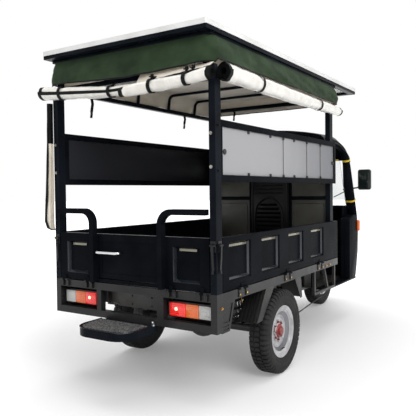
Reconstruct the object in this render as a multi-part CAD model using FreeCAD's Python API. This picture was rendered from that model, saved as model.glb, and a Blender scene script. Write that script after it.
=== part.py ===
"""Three-wheeled cargo auto rickshaw with drop-side bed, canopy and open cab.

Millimetres.  Sizes are worked out with X measured forward from the rear face of
the bed, Y to the vehicle's left and Z up from the ground.  Every sub-part is
then moved so that the origin lies under the middle of the whole vehicle.
"""
import FreeCAD
import Part
import math
import os

from FreeCAD import Vector

# Bed and lower rear frame
HALF_WIDTH = 612.0
BED_LENGTH = 1867.0
FLOOR_TOP = 640.0
RAIL_BOTTOM = 586.0
RAIL_WIDTH = 40.0
LAMP_FRAME_BOTTOM = 428.0
LAMP_BEAM_TOP = 470.0
TOP_BEAM_BOTTOM = 596.0
POST_DEPTH = 58.0
POST_WIDTH = 40.0
REAR_BEAM_DEPTH = 40.0

# Gates
GATE_BOTTOM = 646.0
GATE_TOP = 940.0
GATE_THICKNESS = 30.0
GATE_RAIL = 44.0
GATE_GAP = 6.0
HINGE_OUT = 12.0
HINGE_Z = 642.0
SIDE_HINGES = (283.0, 900.0, 1484.0)
TAIL_HINGE_X = -12.0
TAIL_HINGE_Z = 642.0
TAIL_HINGES = (-524.0, -318.0, 318.0, 524.0)
DOOR_HINGE_X = -8.0
DOOR_HINGE_Y = -237.0
DOOR_HINGES = (700.0, 790.0, 890.0)
DOORWAY_HALF = 238.0
GRAB_INNER = 244.0
GRAB_TOP = 1095.0
GRAB_WIDTH = 32.0
GRAB_DEPTH = 40.0

# Canopy
FRONT_POST_X = 1805.0
FRONT_POST_OUT = 575.0
CANOPY_RAIL_Z = 1830.0
CANOPY_RAIL = 30.0
ROOF_REAR = -77.0
ROOF_FRONT = 2350.0
ROOF_HALF = 613.0
ROOF_TOP = 2079.0
ROOF_PANEL = 28.0
ROOF_EDGE = 22.0
VALANCE_TOP = 2029.0
VALANCE_BOTTOM = 1885.0
VALANCE_WALL = 4.0
PANEL_BOTTOM = 1243.0
PANEL_TOP = 1576.0
PANEL_RAIL = 36.0

# Wheels and axles
TYRE_RADIUS = 272.5
RIM_RADIUS = 168.0
TYRE_FACETS = 36
LUG_DEPTH = 9.0
GROOVE_HALF = 9.0
GROOVE_STAGGER = 2.5
HALF_TRACK = 565.0
REAR_AXLE_X = 803.0
FRONT_AXLE_X = 3001.0
STUB_RADIUS = 20.0
FRONT_AXLE_RADIUS = 12.0
RUNNING_CLEARANCE = 0.1

# Steering
RAKE = 27.0
STEER_BASE_X = 2960.0
HEAD_BOTTOM = 665.0
HEAD_TOP = 865.0
HANDLEBAR_Z = 1052.0
BAR_BACK = 40.0
CROWN_Z = 585.0
LEG_Y = 95.0

# Cab
CAB_REAR = BED_LENGTH
CAB_HALF = 430.0
CAB_FLOOR = 374.0
FAIRING_TOP = 1030.0
WINDSCREEN_TOP = 1475.0
CAB_ROOF_CROWN = 1672.0
BULKHEAD_TOP = 1142.0
PILLAR_RADIUS = 24.0
PILLAR_Y = 404.0
PILLAR_FOOT_X = 2613.0
HEADER_X = 2440.0
CAB_TUBE_RADIUS = 14.0
CAB_HOOP_X = BED_LENGTH + 26
CAB_HOOP_Z = 1574.0
SCREEN_BULGE = 62.0
DASH_BULGE = 60.0

# Reach of the whole vehicle, which sets the origin under its middle
STEP_REACH = 270.0
FRONT_MUDGUARD_RADIUS = 312.0
CENTRE_X = (FRONT_AXLE_X + FRONT_MUDGUARD_RADIUS - STEP_REACH) / 2


def box(x0, x1, y0, y1, z0, z1):
    """Block between two corners."""
    return Part.makeBox(x1 - x0, y1 - y0, z1 - z0, Vector(x0, y0, z0))


def face_of(points):
    """Flat face inside a closed outline."""
    return Part.Face(Part.makePolygon(points + [points[0]]))


def prism_xz(points, y0, y1):
    """Outline in the side view, thick from y0 to y1."""
    return face_of([Vector(x, y0, z) for x, z in points]).extrude(Vector(0, y1 - y0, 0))


def prism_yz(points, x0, x1):
    """Outline in the rear view, thick from x0 to x1."""
    return face_of([Vector(x0, y, z) for y, z in points]).extrude(Vector(x1 - x0, 0, 0))


def prism_xy(points, z0, z1):
    """Outline in the plan view, thick from z0 to z1."""
    return face_of([Vector(x, y, z0) for x, y in points]).extrude(Vector(0, 0, z1 - z0))


def rod(start, end, radius):
    """Round bar between two points."""
    along = end - start
    return Part.makeCylinder(radius, along.Length, start, along)


def crossbar(x, z, radius, y0, y1):
    """Round bar along Y."""
    return rod(Vector(x, y0, z), Vector(x, y1, z), radius)


def fuse(shapes):
    """One solid from several that touch."""
    first = shapes[0]
    return first.multiFuse(shapes[1:]).removeSplitter() if len(shapes) > 1 else first


def mirrored(shape):
    """The same piece on the vehicle's other side."""
    return shape.mirror(Vector(0, 0, 0), Vector(0, 1, 0))


def both_sides(shape):
    """A piece and its mirror image, fused or as separate solids."""
    return [shape, mirrored(shape)]


def bent_path(points, bend):
    """Straight runs joined by tangent arcs of one bend radius."""
    edges = []
    start = points[0]
    for before, corner, after in zip(points, points[1:], points[2:]):
        to_before = (before - corner).normalize()
        to_after = (after - corner).normalize()
        half_turn = to_before.getAngle(to_after) / 2
        reach = bend / math.tan(half_turn)
        arc_start = corner + to_before * reach
        arc_end = corner + to_after * reach
        towards = (to_before + to_after).normalize()
        middle = corner + towards * (bend / math.sin(half_turn) - bend)
        edges.append(Part.LineSegment(start, arc_start).toShape())
        edges.append(Part.Arc(arc_start, middle, arc_end).toShape())
        start = arc_end
    edges.append(Part.LineSegment(start, points[-1]).toShape())
    return Part.Wire(edges)


def round_tube(points, radius, bend):
    """Round tube bent along a path."""
    path = bent_path(points, bend)
    first = (points[1] - points[0]).normalize()
    ring = Part.Wire(Part.Circle(points[0], first, radius).toShape())
    return path.makePipeShell([ring], True, False)


def turned(profile, centre_x, centre_y, centre_z):
    """Solid of revolution about a line along Y, from (radius, y) pairs."""
    points = [Vector(radius, y, 0) for radius, y in profile]
    ring = face_of(points).revolve(Vector(0, 0, 0), Vector(0, 1, 0), 360)
    ring.translate(Vector(centre_x, centre_y, centre_z))
    return ring


def save(name, shapes):
    """Move a sub-part to the vehicle's origin and write its file."""
    solids = shapes if isinstance(shapes, list) else [shapes]
    moved = []
    for solid in solids:
        copy = solid.copy()
        copy.translate(Vector(-CENTRE_X, 0, 0))
        moved.append(copy)
    whole = moved[0] if len(moved) == 1 else Part.makeCompound(moved)
    whole.exportStep("parts/" + name + ".step")


def steer_x(z):
    """X of the raked steering axis at a height."""
    return STEER_BASE_X - (z - TYRE_RADIUS) * math.tan(math.radians(RAKE))


def steer_point(z, y=0.0):
    """Point on the steering axis at a height, or beside it."""
    return Vector(steer_x(z), y, z)


# Chassis

RAIL_Y = 250.0
CHASSIS_TOP = RAIL_BOTTOM
CHASSIS_RAIL_HEIGHT = 70.0
CHASSIS_RAIL_WIDTH = 50.0
CHASSIS_REAR = 40.0
CAB_RAIL_Z = 320.0
CAB_RAIL_HEIGHT = 50.0
HITCH_HOLE_RADIUS = 6.0
HITCH_Y = -52.0
HITCH_Z = 545.0
HITCH_SPACING_Y = 150.0
HITCH_SPACING_Z = 50.0
HITCH_PLATE_X = 60.0
HITCH_PLATE = 6.0
HITCH_PLATE_LEFT = 130.0
HITCH_PLATE_LOW = 500.0
KICK_UP = ((1690.0, 1830.0), (1750.0, 1890.0))
CAB_RAIL_FRONT = 2560.0
CROSS_TUBE = 40.0
BED_CROSS_TUBES = (66.0, 380.0, 1190.0, 1640.0)
CAB_CROSS_TUBES = (1900.0, 2200.0, 2520.0)
HEAD_TUBE_RADIUS = 34.0
HEAD_BORE_RADIUS = 24.0
HEAD_BORE_PAST = 60.0
NECK_RADIUS = 20.0
NECK_BEND = 70.0
NECK_TOP = 780.0


def main_rail():
    """Left main rail, high under the bed and dropped under the cab floor."""
    low_top = CAB_RAIL_Z + CAB_RAIL_HEIGHT
    high_bottom = CHASSIS_TOP - CHASSIS_RAIL_HEIGHT
    (under_start, under_end), (over_start, over_end) = KICK_UP
    outline = [
        (CHASSIS_REAR, high_bottom), (under_start, high_bottom), (under_end, CAB_RAIL_Z),
        (CAB_RAIL_FRONT, CAB_RAIL_Z), (CAB_RAIL_FRONT, low_top), (over_end, low_top),
        (over_start, CHASSIS_TOP), (CHASSIS_REAR, CHASSIS_TOP),
    ]
    return prism_xz(outline, RAIL_Y - CHASSIS_RAIL_WIDTH, RAIL_Y)


def cross_member(x, z0, z1):
    """Tube across the main rails."""
    reach = RAIL_Y - CHASSIS_RAIL_WIDTH
    return box(x, x + CROSS_TUBE, -reach, reach, z0, z1)


def hitch_plate():
    """Rear cross plate with the four hitch holes."""
    front = HITCH_PLATE_X + HITCH_PLATE
    plate = box(HITCH_PLATE_X, front, -RAIL_Y, HITCH_PLATE_LEFT, HITCH_PLATE_LOW, CHASSIS_TOP)
    for side in (-1, 1):
        for level in (-1, 1):
            y = HITCH_Y + side * HITCH_SPACING_Y / 2
            z = HITCH_Z + level * HITCH_SPACING_Z / 2
            hole = rod(Vector(HITCH_PLATE_X - HITCH_PLATE, y, z),
                       Vector(front + HITCH_PLATE, y, z), HITCH_HOLE_RADIUS)
            plate = plate.cut(hole)
    return plate


def head_tube():
    """Raked tube that the steering stem turns in."""
    outer = rod(steer_point(HEAD_BOTTOM), steer_point(HEAD_TOP), HEAD_TUBE_RADIUS)
    bore = rod(steer_point(HEAD_BOTTOM - HEAD_BORE_PAST), steer_point(HEAD_TOP + HEAD_BORE_PAST),
               HEAD_BORE_RADIUS)
    return outer, bore


def neck_tube():
    """Left down tube from the head tube to the cab rail."""
    rail_middle = RAIL_Y - CHASSIS_RAIL_WIDTH / 2
    points = [
        Vector(CAB_RAIL_FRONT - NECK_RADIUS, rail_middle, CAB_RAIL_Z + CAB_RAIL_HEIGHT / 2),
        Vector(CAB_RAIL_FRONT + CAB_RAIL_HEIGHT, rail_middle - 15, CAB_RAIL_Z + 60),
        Vector(steer_x(NECK_TOP), NECK_RADIUS, NECK_TOP),
    ]
    return round_tube(points, NECK_RADIUS, NECK_BEND)


def chassis_frame():
    """Ladder frame with the neck and the head tube."""
    outer, bore = head_tube()
    high_bottom = CHASSIS_TOP - CHASSIS_RAIL_HEIGHT
    pieces = both_sides(main_rail()) + both_sides(neck_tube()) + [outer, hitch_plate()]
    for x in BED_CROSS_TUBES:
        pieces.append(cross_member(x, high_bottom, CHASSIS_TOP))
    for x in CAB_CROSS_TUBES:
        pieces.append(cross_member(x, CAB_RAIL_Z, CAB_RAIL_Z + CAB_RAIL_HEIGHT))
    return fuse(pieces).cut(bore)


# Rear axle and springs

SPRING_Y = 390.0
SPRING_WIDTH = 50.0
SPRING_REAR_X = 330.0
SPRING_FRONT_X = 1275.0
SPRING_SAG = 95.0
SPRING_LOW_Z = 352.0
LEAF_THICKNESS = 9.0
LEAF_STEP = 95.0
LEAVES = 4
EYE_RADIUS = 20.0
EYE_Z = 456.0
SHACKLE = 8.0
SHACKLE_HALF = 36.0
OUTRIGGER = 40.0
CLAMP_HALF = 60.0
CLAMP_PLATE = 12.0
AXLE_TUBE_RADIUS = 34.0
AXLE_TUBE_HALF = 478.0
STUB_HALF = 560.0
BACK_PLATE = 8.0
BACK_PLATE_RADIUS = 105.0
DIFFERENTIAL_RADIUS = 112.0
DIFFERENTIAL_NECK = (60.0, 150.0)
MOTOR_RADIUS = 88.0
MOTOR_LENGTH = 228.0
MOTOR_RISE = (10.0, 30.0)
BATTERY_CASE = (1235.0, 1630.0, -195.0, 195.0, 360.0, 512.0)
BATTERY_CORNER = 12.0


def leaf(level):
    """One curved leaf of the spring, shorter at each level down."""
    half = (SPRING_FRONT_X - SPRING_REAR_X) / 2
    middle = (SPRING_FRONT_X + SPRING_REAR_X) / 2
    bow = (half ** 2 + SPRING_SAG ** 2) / (2 * SPRING_SAG)
    centre_z = SPRING_LOW_Z + bow
    upper_radius = bow + (level - 1) * LEAF_THICKNESS
    lower_radius = upper_radius + LEAF_THICKNESS
    swing = math.asin((half - LEAF_STEP * level) / bow)

    def arc(radius):
        ends = []
        for angle in (-swing, 0, swing):
            ends.append(Vector(middle + radius * math.sin(angle), 0,
                               centre_z - radius * math.cos(angle)))
        return ends

    lower = arc(lower_radius)
    upper = arc(upper_radius)
    edges = [
        Part.Arc(lower[0], lower[1], lower[2]).toShape(),
        Part.LineSegment(lower[2], upper[2]).toShape(),
        Part.Arc(upper[2], upper[1], upper[0]).toShape(),
        Part.LineSegment(upper[0], lower[0]).toShape(),
    ]
    solid = Part.Face(Part.Wire(edges)).extrude(Vector(0, SPRING_WIDTH, 0))
    solid.translate(Vector(0, SPRING_Y - SPRING_WIDTH / 2, 0))
    return solid


def spring_hanger(x):
    """Shackle from the outrigger down to the spring's eye."""
    y0 = SPRING_Y - SPRING_WIDTH / 2
    y1 = SPRING_Y + SPRING_WIDTH / 2
    under = CHASSIS_TOP - OUTRIGGER
    foot = EYE_RADIUS + 4
    eye = crossbar(x, EYE_Z, EYE_RADIUS, y0, y1)
    plates = []
    for edge in (y0 - SHACKLE, y1):
        plates.append(prism_xz([(x - foot, EYE_Z - foot / 2), (x + foot, EYE_Z - foot / 2),
                                (x + SHACKLE_HALF, under), (x - SHACKLE_HALF, under)],
                               edge, edge + SHACKLE))
    outrigger = box(x - SHACKLE_HALF, x + SHACKLE_HALF, RAIL_Y, y1 + SHACKLE, under, CHASSIS_TOP)
    return [eye, outrigger] + plates


def leaf_spring():
    """Left leaf spring with its hangers and the axle clamp."""
    pieces = [leaf(level) for level in range(LEAVES)]
    pieces += spring_hanger(SPRING_REAR_X) + spring_hanger(SPRING_FRONT_X)
    y0 = SPRING_Y - SPRING_WIDTH / 2 - SHACKLE
    y1 = SPRING_Y + SPRING_WIDTH / 2 + SHACKLE
    seat_bottom = TYRE_RADIUS + AXLE_TUBE_RADIUS
    pack_bottom = SPRING_LOW_Z - (LEAVES - 1) * LEAF_THICKNESS
    pack_top = SPRING_LOW_Z + LEAF_THICKNESS
    for z0, z1 in ((seat_bottom, pack_bottom + 3), (pack_top, pack_top + CLAMP_PLATE)):
        pieces.append(box(REAR_AXLE_X - CLAMP_HALF, REAR_AXLE_X + CLAMP_HALF, y0, y1, z0, z1))
    return fuse(pieces)


def rear_axle():
    """Axle tube with its differential housing, back plates and stub ends."""
    z = TYRE_RADIUS
    neck_radius, neck_half = DIFFERENTIAL_NECK
    pieces = [crossbar(REAR_AXLE_X, z, AXLE_TUBE_RADIUS, -AXLE_TUBE_HALF, AXLE_TUBE_HALF),
              crossbar(REAR_AXLE_X, z, STUB_RADIUS, -STUB_HALF, STUB_HALF),
              Part.makeSphere(DIFFERENTIAL_RADIUS, Vector(REAR_AXLE_X, 0, z)),
              crossbar(REAR_AXLE_X, z, neck_radius, -neck_half, neck_half)]
    plate = crossbar(REAR_AXLE_X, z, BACK_PLATE_RADIUS, AXLE_TUBE_HALF - BACK_PLATE,
                     AXLE_TUBE_HALF)
    return fuse(pieces + both_sides(plate))


def drive_motor():
    """Electric drive motor bolted to the front of the differential."""
    start = REAR_AXLE_X + DIFFERENTIAL_RADIUS
    return rod(Vector(start, 0, TYRE_RADIUS + MOTOR_RISE[0]),
               Vector(start + MOTOR_LENGTH, 0, TYRE_RADIUS + MOTOR_RISE[1]), MOTOR_RADIUS)


def battery_box():
    """Closed battery case slung between the main rails."""
    case = box(*BATTERY_CASE)
    uprights = [e for e in case.Edges if abs(e.BoundBox.ZLength) > BATTERY_CORNER]
    return case.makeFillet(BATTERY_CORNER, uprights)


# Bed

FLOOR_SHEET = 4.0
FLOOR_HALF = 570.0
FLOOR_RIBS = 7
FLOOR_RIB_REACH = 520.0
FLOOR_RIB_HALF = (28.0, 20.0)
FLOOR_RIB_HEIGHT = 5.0
FLOOR_RIB_MARGIN = 90.0
RAIL_WALL = 4.0
BEARERS = (210.0, 620.0, 960.0, 1380.0)
BEARER_WIDTH = 50.0
GUSSET_FRONT = (140.0, 198.0)
GUSSET_PLATE = 8.0
GUSSET_PRESS = 4.0
LAMP_POST_LEFT = (222.0, 258.0)
LAMP_POST_RIGHT = (-255.0, -208.0)
LAMP_FRONT = 92.0
LENS_BACK = 52.0
LENS_FRONT = 30.0
LENS_LOW = 484.0
LENS_HIGH = 566.0
LAMP_LEFT = (290.0, 562.0)
LAMP_RIGHT = (-562.0, -266.0)
LENSES_LEFT = (297.0, 386.0, 472.0, 557.0)
LENSES_RIGHT = (-557.0, -472.0, -386.0, -273.0)


def bed_floor():
    """Floor sheet with long pressed ribs."""
    margin = RAIL_WIDTH + 2
    sheet = box(margin, BED_LENGTH - margin, -FLOOR_HALF, FLOOR_HALF, FLOOR_TOP - FLOOR_SHEET,
                FLOOR_TOP)
    foot, crest = FLOOR_RIB_HALF
    top = FLOOR_TOP + FLOOR_RIB_HEIGHT
    ribs = []
    for index in range(FLOOR_RIBS):
        y = -FLOOR_RIB_REACH + index * 2 * FLOOR_RIB_REACH / (FLOOR_RIBS - 1)
        profile = [(y - foot, FLOOR_TOP), (y + foot, FLOOR_TOP), (y + crest, top),
                   (y - crest, top)]
        ribs.append(prism_yz(profile, FLOOR_RIB_MARGIN, BED_LENGTH - FLOOR_RIB_MARGIN))
    return fuse([sheet] + ribs)


def side_rail():
    """Left side rail, a channel open inwards."""
    inner = HALF_WIDTH - RAIL_WIDTH
    outer = box(POST_DEPTH, BED_LENGTH, inner, HALF_WIDTH, RAIL_BOTTOM, FLOOR_TOP)
    channel = box(POST_DEPTH, BED_LENGTH - RAIL_WIDTH, inner, HALF_WIDTH - RAIL_WALL,
                  RAIL_BOTTOM + RAIL_WALL, FLOOR_TOP - RAIL_WALL)
    return outer.cut(channel)


def bed_rails():
    """Side rails, front beam and the cross bearers under the floor."""
    inner = HALF_WIDTH - RAIL_WIDTH
    reach = HALF_WIDTH - RAIL_WALL
    pieces = both_sides(side_rail())
    pieces.append(box(BED_LENGTH - RAIL_WIDTH, BED_LENGTH, -inner, inner, RAIL_BOTTOM, FLOOR_TOP))
    for x in BEARERS:
        pieces.append(box(x, x + BEARER_WIDTH, -reach, reach, RAIL_BOTTOM,
                          FLOOR_TOP - FLOOR_SHEET))
    return fuse(pieces)


def corner_gusset():
    """Left ribbed plate that braces the corner post below the side rail."""
    foot = LAMP_FRAME_BOTTOM - 8
    low_front, high_front = GUSSET_FRONT
    outline = [(POST_DEPTH, foot), (low_front, foot), (high_front, RAIL_BOTTOM),
               (POST_DEPTH, RAIL_BOTTOM)]
    face = HALF_WIDTH - GUSSET_PRESS
    plate = prism_xz(outline, face - GUSSET_PLATE, face)
    start = POST_DEPTH + 12
    recess = prism_xz([(start, LAMP_BEAM_TOP + 4), (low_front, LAMP_BEAM_TOP + 4),
                       (high_front - 26, RAIL_BOTTOM - 14), (start, RAIL_BOTTOM - 14)],
                      face - GUSSET_PRESS, HALF_WIDTH)
    grooves = [box(start, low_front - 14, face - GUSSET_PRESS + 1, HALF_WIDTH, z, z + 8)
               for z in (foot + 14, foot + 32)]
    return plate.cut(Part.makeCompound([recess] + grooves))


def lamp_frame():
    """Rear lower frame that holds the tail lamps, with posts and uprights."""
    inner = HALF_WIDTH - POST_WIDTH
    pieces = both_sides(box(0, POST_DEPTH, inner, HALF_WIDTH, LAMP_FRAME_BOTTOM, FLOOR_TOP))
    pieces += both_sides(corner_gusset())
    pieces.append(box(0, REAR_BEAM_DEPTH, -inner, inner, LAMP_FRAME_BOTTOM, LAMP_BEAM_TOP))
    pieces.append(box(0, REAR_BEAM_DEPTH, -inner, inner, TOP_BEAM_BOTTOM, FLOOR_TOP))
    for y0, y1 in (LAMP_POST_LEFT, LAMP_POST_RIGHT):
        pieces.append(box(0, REAR_BEAM_DEPTH, y0, y1, LAMP_BEAM_TOP, TOP_BEAM_BOTTOM))
    for y in TAIL_HINGES:
        pieces += tail_hinge(y, True)
    return fuse(pieces)


def tail_lamp(sides, lens_edges):
    """Lamp body set in its opening, with one lens for each colour."""
    y0, y1 = sides
    body = box(LENS_BACK, LAMP_FRONT, y0, y1, LAMP_BEAM_TOP + 4, TOP_BEAM_BOTTOM - 4)
    bracket = box(REAR_BEAM_DEPTH, LENS_BACK, y0, y1, LAMP_BEAM_TOP - 20, LAMP_BEAM_TOP + 10)
    lenses = []
    for edge0, edge1 in zip(lens_edges, lens_edges[1:]):
        lens = box(LENS_FRONT, LENS_BACK, edge0 + 1, edge1 - 1, LENS_LOW, LENS_HIGH)
        face = [e for e in lens.Edges if e.BoundBox.XMax < LENS_FRONT + 1]
        lenses.append(lens.makeFillet(4, face))
    return [fuse([body, bracket])] + lenses


def tail_lamps():
    """Both tail lamps: red, amber and clear lenses, clear outermost."""
    return tail_lamp(LAMP_LEFT, LENSES_LEFT) + tail_lamp(LAMP_RIGHT, LENSES_RIGHT)


STEP_TOP = 430.0
STEP_HALF = 200.0
STEP_FRONT = -20.0
STEP_CORNER = 120.0
STEP_DEPTH = 44.0
STEP_WALL = 6.0
STEP_ARM_Y = 120.0
STEP_ARM_HALF = 15.0
STEP_ARM_REACH = 130.0
STEP_TREADS = 7
STEP_TREAD_PITCH = 50.0
STEP_TREAD_HALF = 7.0


def rear_step():
    """Step below the door, D-shaped in plan, on its bracket."""
    turn = STEP_CORNER * (1 - math.sqrt(0.5))
    near = -STEP_REACH + STEP_CORNER
    side = STEP_HALF - STEP_CORNER
    edges = [
        Part.LineSegment(Vector(STEP_FRONT, -STEP_HALF, 0), Vector(STEP_FRONT, STEP_HALF, 0)),
        Part.LineSegment(Vector(STEP_FRONT, STEP_HALF, 0), Vector(near, STEP_HALF, 0)),
        Part.Arc(Vector(near, STEP_HALF, 0),
                 Vector(-STEP_REACH + turn, STEP_HALF - turn, 0), Vector(-STEP_REACH, side, 0)),
        Part.LineSegment(Vector(-STEP_REACH, side, 0), Vector(-STEP_REACH, -side, 0)),
        Part.Arc(Vector(-STEP_REACH, -side, 0),
                 Vector(-STEP_REACH + turn, -STEP_HALF + turn, 0), Vector(near, -STEP_HALF, 0)),
        Part.LineSegment(Vector(near, -STEP_HALF, 0), Vector(STEP_FRONT, -STEP_HALF, 0)),
    ]
    outline = Part.Face(Part.Wire([edge.toShape() for edge in edges]))
    plate = outline.extrude(Vector(0, 0, STEP_DEPTH))
    plate.translate(Vector(0, 0, STEP_TOP - STEP_DEPTH))
    hollow = outline.makeOffset2D(-STEP_WALL).extrude(Vector(0, 0, STEP_DEPTH - 4))
    hollow.translate(Vector(0, 0, STEP_TOP - STEP_DEPTH - 1))
    bracket = box(STEP_FRONT, REAR_BEAM_DEPTH, -STEP_HALF + 20, STEP_HALF - 20,
                  LAMP_FRAME_BOTTOM - 42, LAMP_FRAME_BOTTOM)
    arms = [box(STEP_FRONT - STEP_ARM_REACH, STEP_FRONT, y - STEP_ARM_HALF, y + STEP_ARM_HALF,
                STEP_TOP - STEP_DEPTH, STEP_TOP - 5) for y in (-STEP_ARM_Y, STEP_ARM_Y)]
    treads = []
    for index in range(STEP_TREADS):
        y = (index - (STEP_TREADS - 1) / 2) * STEP_TREAD_PITCH
        treads.append(box(-STEP_REACH + 40, STEP_FRONT - 40, y - STEP_TREAD_HALF,
                          y + STEP_TREAD_HALF, STEP_TOP - 1, STEP_TOP + 3))
    return fuse([plate.cut(hollow), bracket] + arms + treads)


MUDGUARD_OUT = 606.0
MUDGUARD_IN = 470.0
MUDGUARD_SHEET = 5.0
MUDGUARD_TOP = 585.0
MUDGUARD_REAR = (460.0, 390.0)
MUDGUARD_REAR_TOP = 588.0
MUDGUARD_FRONT_TOP = 1060.0
MUDGUARD_FRONT = (1150.0, 440.0)
MUDGUARD_RIB = (6.0, 10.0, 24.0)
MUDGUARD_RIBS = 5
STAY = 4.0
STAY_WIDTH = 116.0


def mudguard_outline(offset):
    """Side outline of the guard over the tyre."""
    top = MUDGUARD_TOP - offset
    return [(MUDGUARD_REAR[0] + offset, MUDGUARD_REAR[1]), (MUDGUARD_REAR_TOP + offset, top),
            (MUDGUARD_FRONT_TOP - offset, top), (MUDGUARD_FRONT[0] - offset, MUDGUARD_FRONT[1])]


def rear_mudguard():
    """Left guard over the rear wheel with its ribs and its two tapered outer stays."""
    rear_x, rear_z = MUDGUARD_REAR
    front_x, front_z = MUDGUARD_FRONT
    sheet = prism_xz(mudguard_outline(0) + mudguard_outline(MUDGUARD_SHEET)[::-1],
                     MUDGUARD_IN, MUDGUARD_OUT - STAY)
    rear_stay = prism_xz([(MUDGUARD_REAR_TOP, MUDGUARD_TOP),
                          (MUDGUARD_REAR_TOP + STAY_WIDTH, MUDGUARD_TOP),
                          (rear_x + 72, rear_z + 5), (rear_x + 3, rear_z + 2)],
                         MUDGUARD_OUT - STAY, MUDGUARD_OUT)
    front_stay = prism_xz([(MUDGUARD_FRONT_TOP - 33, MUDGUARD_TOP), (front_x - 20, MUDGUARD_TOP),
                           (front_x, front_z), (front_x - 25, front_z - 4)],
                          MUDGUARD_OUT - STAY, MUDGUARD_OUT)
    height, width, pitch = MUDGUARD_RIB
    ribs = []
    for index in range(MUDGUARD_RIBS):
        y = MUDGUARD_IN + 16 + index * pitch
        ribs.append(prism_xz([(rear_x - height, rear_z + 4),
                              (MUDGUARD_REAR_TOP - height - 4, MUDGUARD_TOP - 2),
                              (MUDGUARD_REAR_TOP, MUDGUARD_TOP - 2), (rear_x + 4, rear_z + 4)],
                             y, y + width))
    return fuse([sheet, rear_stay, front_stay] + ribs)


GUARD_BAR = 18.0
GUARD_DEPTH = 20.0
GUARD_INSET = 12.0
GUARD_REAR = 1400.0
GUARD_FRONT = 1842.0
GUARD_LOW = 405.0
GUARD_BRACE = (1600.0, 1672.0)


def side_guard():
    """Left open tube frame with a diagonal, under the front of the bed."""
    y1 = HALF_WIDTH - GUARD_INSET
    y0 = y1 - GUARD_DEPTH
    top_x, foot_x = GUARD_BRACE
    foot_z = GUARD_LOW + GUARD_BAR
    pieces = [
        box(GUARD_REAR, GUARD_REAR + GUARD_BAR, y0, y1, GUARD_LOW, RAIL_BOTTOM),
        box(GUARD_FRONT - GUARD_BAR, GUARD_FRONT, y0, y1, GUARD_LOW, RAIL_BOTTOM),
        box(GUARD_REAR, GUARD_FRONT, y0, y1, GUARD_LOW, foot_z),
        prism_xz([(top_x, RAIL_BOTTOM), (top_x + GUARD_BAR, RAIL_BOTTOM),
                  (foot_x + GUARD_BAR, foot_z), (foot_x, foot_z)], y0, y1),
    ]
    return fuse(pieces)


# Gates

GATE_RECESSES = 4
RECESS_START = 130.0
RECESS_PITCH = 391.0
RECESS_LENGTH = 252.0
RECESS_LOW = 690.0
RECESS_HIGH = 908.0
RECESS_DEPTH = 22.0
RECESS_DRAFT = (14.0, 22.0, 10.0)
KNUCKLE_RADIUS = 7.0
MOVING_LEAF_HALF = 26.0
MOVING_LEAF_HEIGHT = 22.0
FIXED_LEAF_OFFSET = 41.0
FIXED_LEAF_HALF = 12.0
FIXED_LEAF = (592.0, 636.0)
LEAF_PLATE = 4.0


def side_gate():
    """Left drop side with four deep pressed recesses and hinge leaves."""
    out = HALF_WIDTH
    depth = out - RECESS_DEPTH
    side, foot, head = RECESS_DRAFT
    panel = box(POST_DEPTH + GATE_GAP, BED_LENGTH, out - GATE_THICKNESS, out, GATE_BOTTOM,
                GATE_TOP)
    for index in range(GATE_RECESSES):
        x0 = RECESS_START + index * RECESS_PITCH
        x1 = x0 + RECESS_LENGTH
        mouth = [Vector(x0, out, RECESS_LOW), Vector(x1, out, RECESS_LOW),
                 Vector(x1, out, RECESS_HIGH), Vector(x0, out, RECESS_HIGH)]
        floor = [Vector(x0 + side, depth, RECESS_LOW + foot),
                 Vector(x1 - side, depth, RECESS_LOW + foot),
                 Vector(x1 - side, depth, RECESS_HIGH - head),
                 Vector(x0 + side, depth, RECESS_HIGH - head)]
        panel = panel.cut(Part.makeLoft([Part.makePolygon(mouth + mouth[:1]),
                                         Part.makePolygon(floor + floor[:1])], True, True))
    leaves = []
    for x in SIDE_HINGES:
        x0 = x - MOVING_LEAF_HALF
        x1 = x + MOVING_LEAF_HALF
        leaves.append(box(x0, x1, out, out + LEAF_PLATE, GATE_BOTTOM,
                          GATE_BOTTOM + MOVING_LEAF_HEIGHT))
        leaves.append(crossbar_x(x0, x1, out + HINGE_OUT, HINGE_Z, KNUCKLE_RADIUS))
        leaves.append(box(x0, x1, out, out + HINGE_OUT, HINGE_Z + 4, HINGE_Z + 9))
    return fuse([panel] + leaves)


def crossbar_x(x0, x1, y, z, radius):
    """Round bar along X."""
    return rod(Vector(x0, y, z), Vector(x1, y, z), radius)


def side_hinge_posts():
    """Left fixed hinge leaves on the side rail."""
    leaves = []
    low, high = FIXED_LEAF
    for x in SIDE_HINGES:
        for side in (-1, 1):
            x0 = x + side * FIXED_LEAF_OFFSET - FIXED_LEAF_HALF
            x1 = x0 + 2 * FIXED_LEAF_HALF
            leaves.append(box(x0, x1, HALF_WIDTH, HALF_WIDTH + LEAF_PLATE + 1, low, high))
            leaves.append(crossbar_x(x0, x1, HALF_WIDTH + HINGE_OUT, HINGE_Z, KNUCKLE_RADIUS))
            leaves.append(box(x0, x1, HALF_WIDTH, HALF_WIDTH + HINGE_OUT, HINGE_Z - 9,
                              HINGE_Z - 2))
    return leaves


def pressed_recess(corners, depth_x, draft):
    """Tapered pocket pressed forward from the rear plane, from (y, z) corners."""
    y0, y1, z0, z1 = corners
    mouth = [Vector(0, y0, z0), Vector(0, y1, z0), Vector(0, y1, z1), Vector(0, y0, z1)]
    floor = [Vector(depth_x, y0 + draft, z0 + draft), Vector(depth_x, y1 - draft, z0 + draft),
             Vector(depth_x, y1 - draft, z1 - draft), Vector(depth_x, y0 + draft, z1 - draft)]
    return Part.makeLoft([Part.makePolygon(mouth + mouth[:1]),
                          Part.makePolygon(floor + floor[:1])], True, True)


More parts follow.
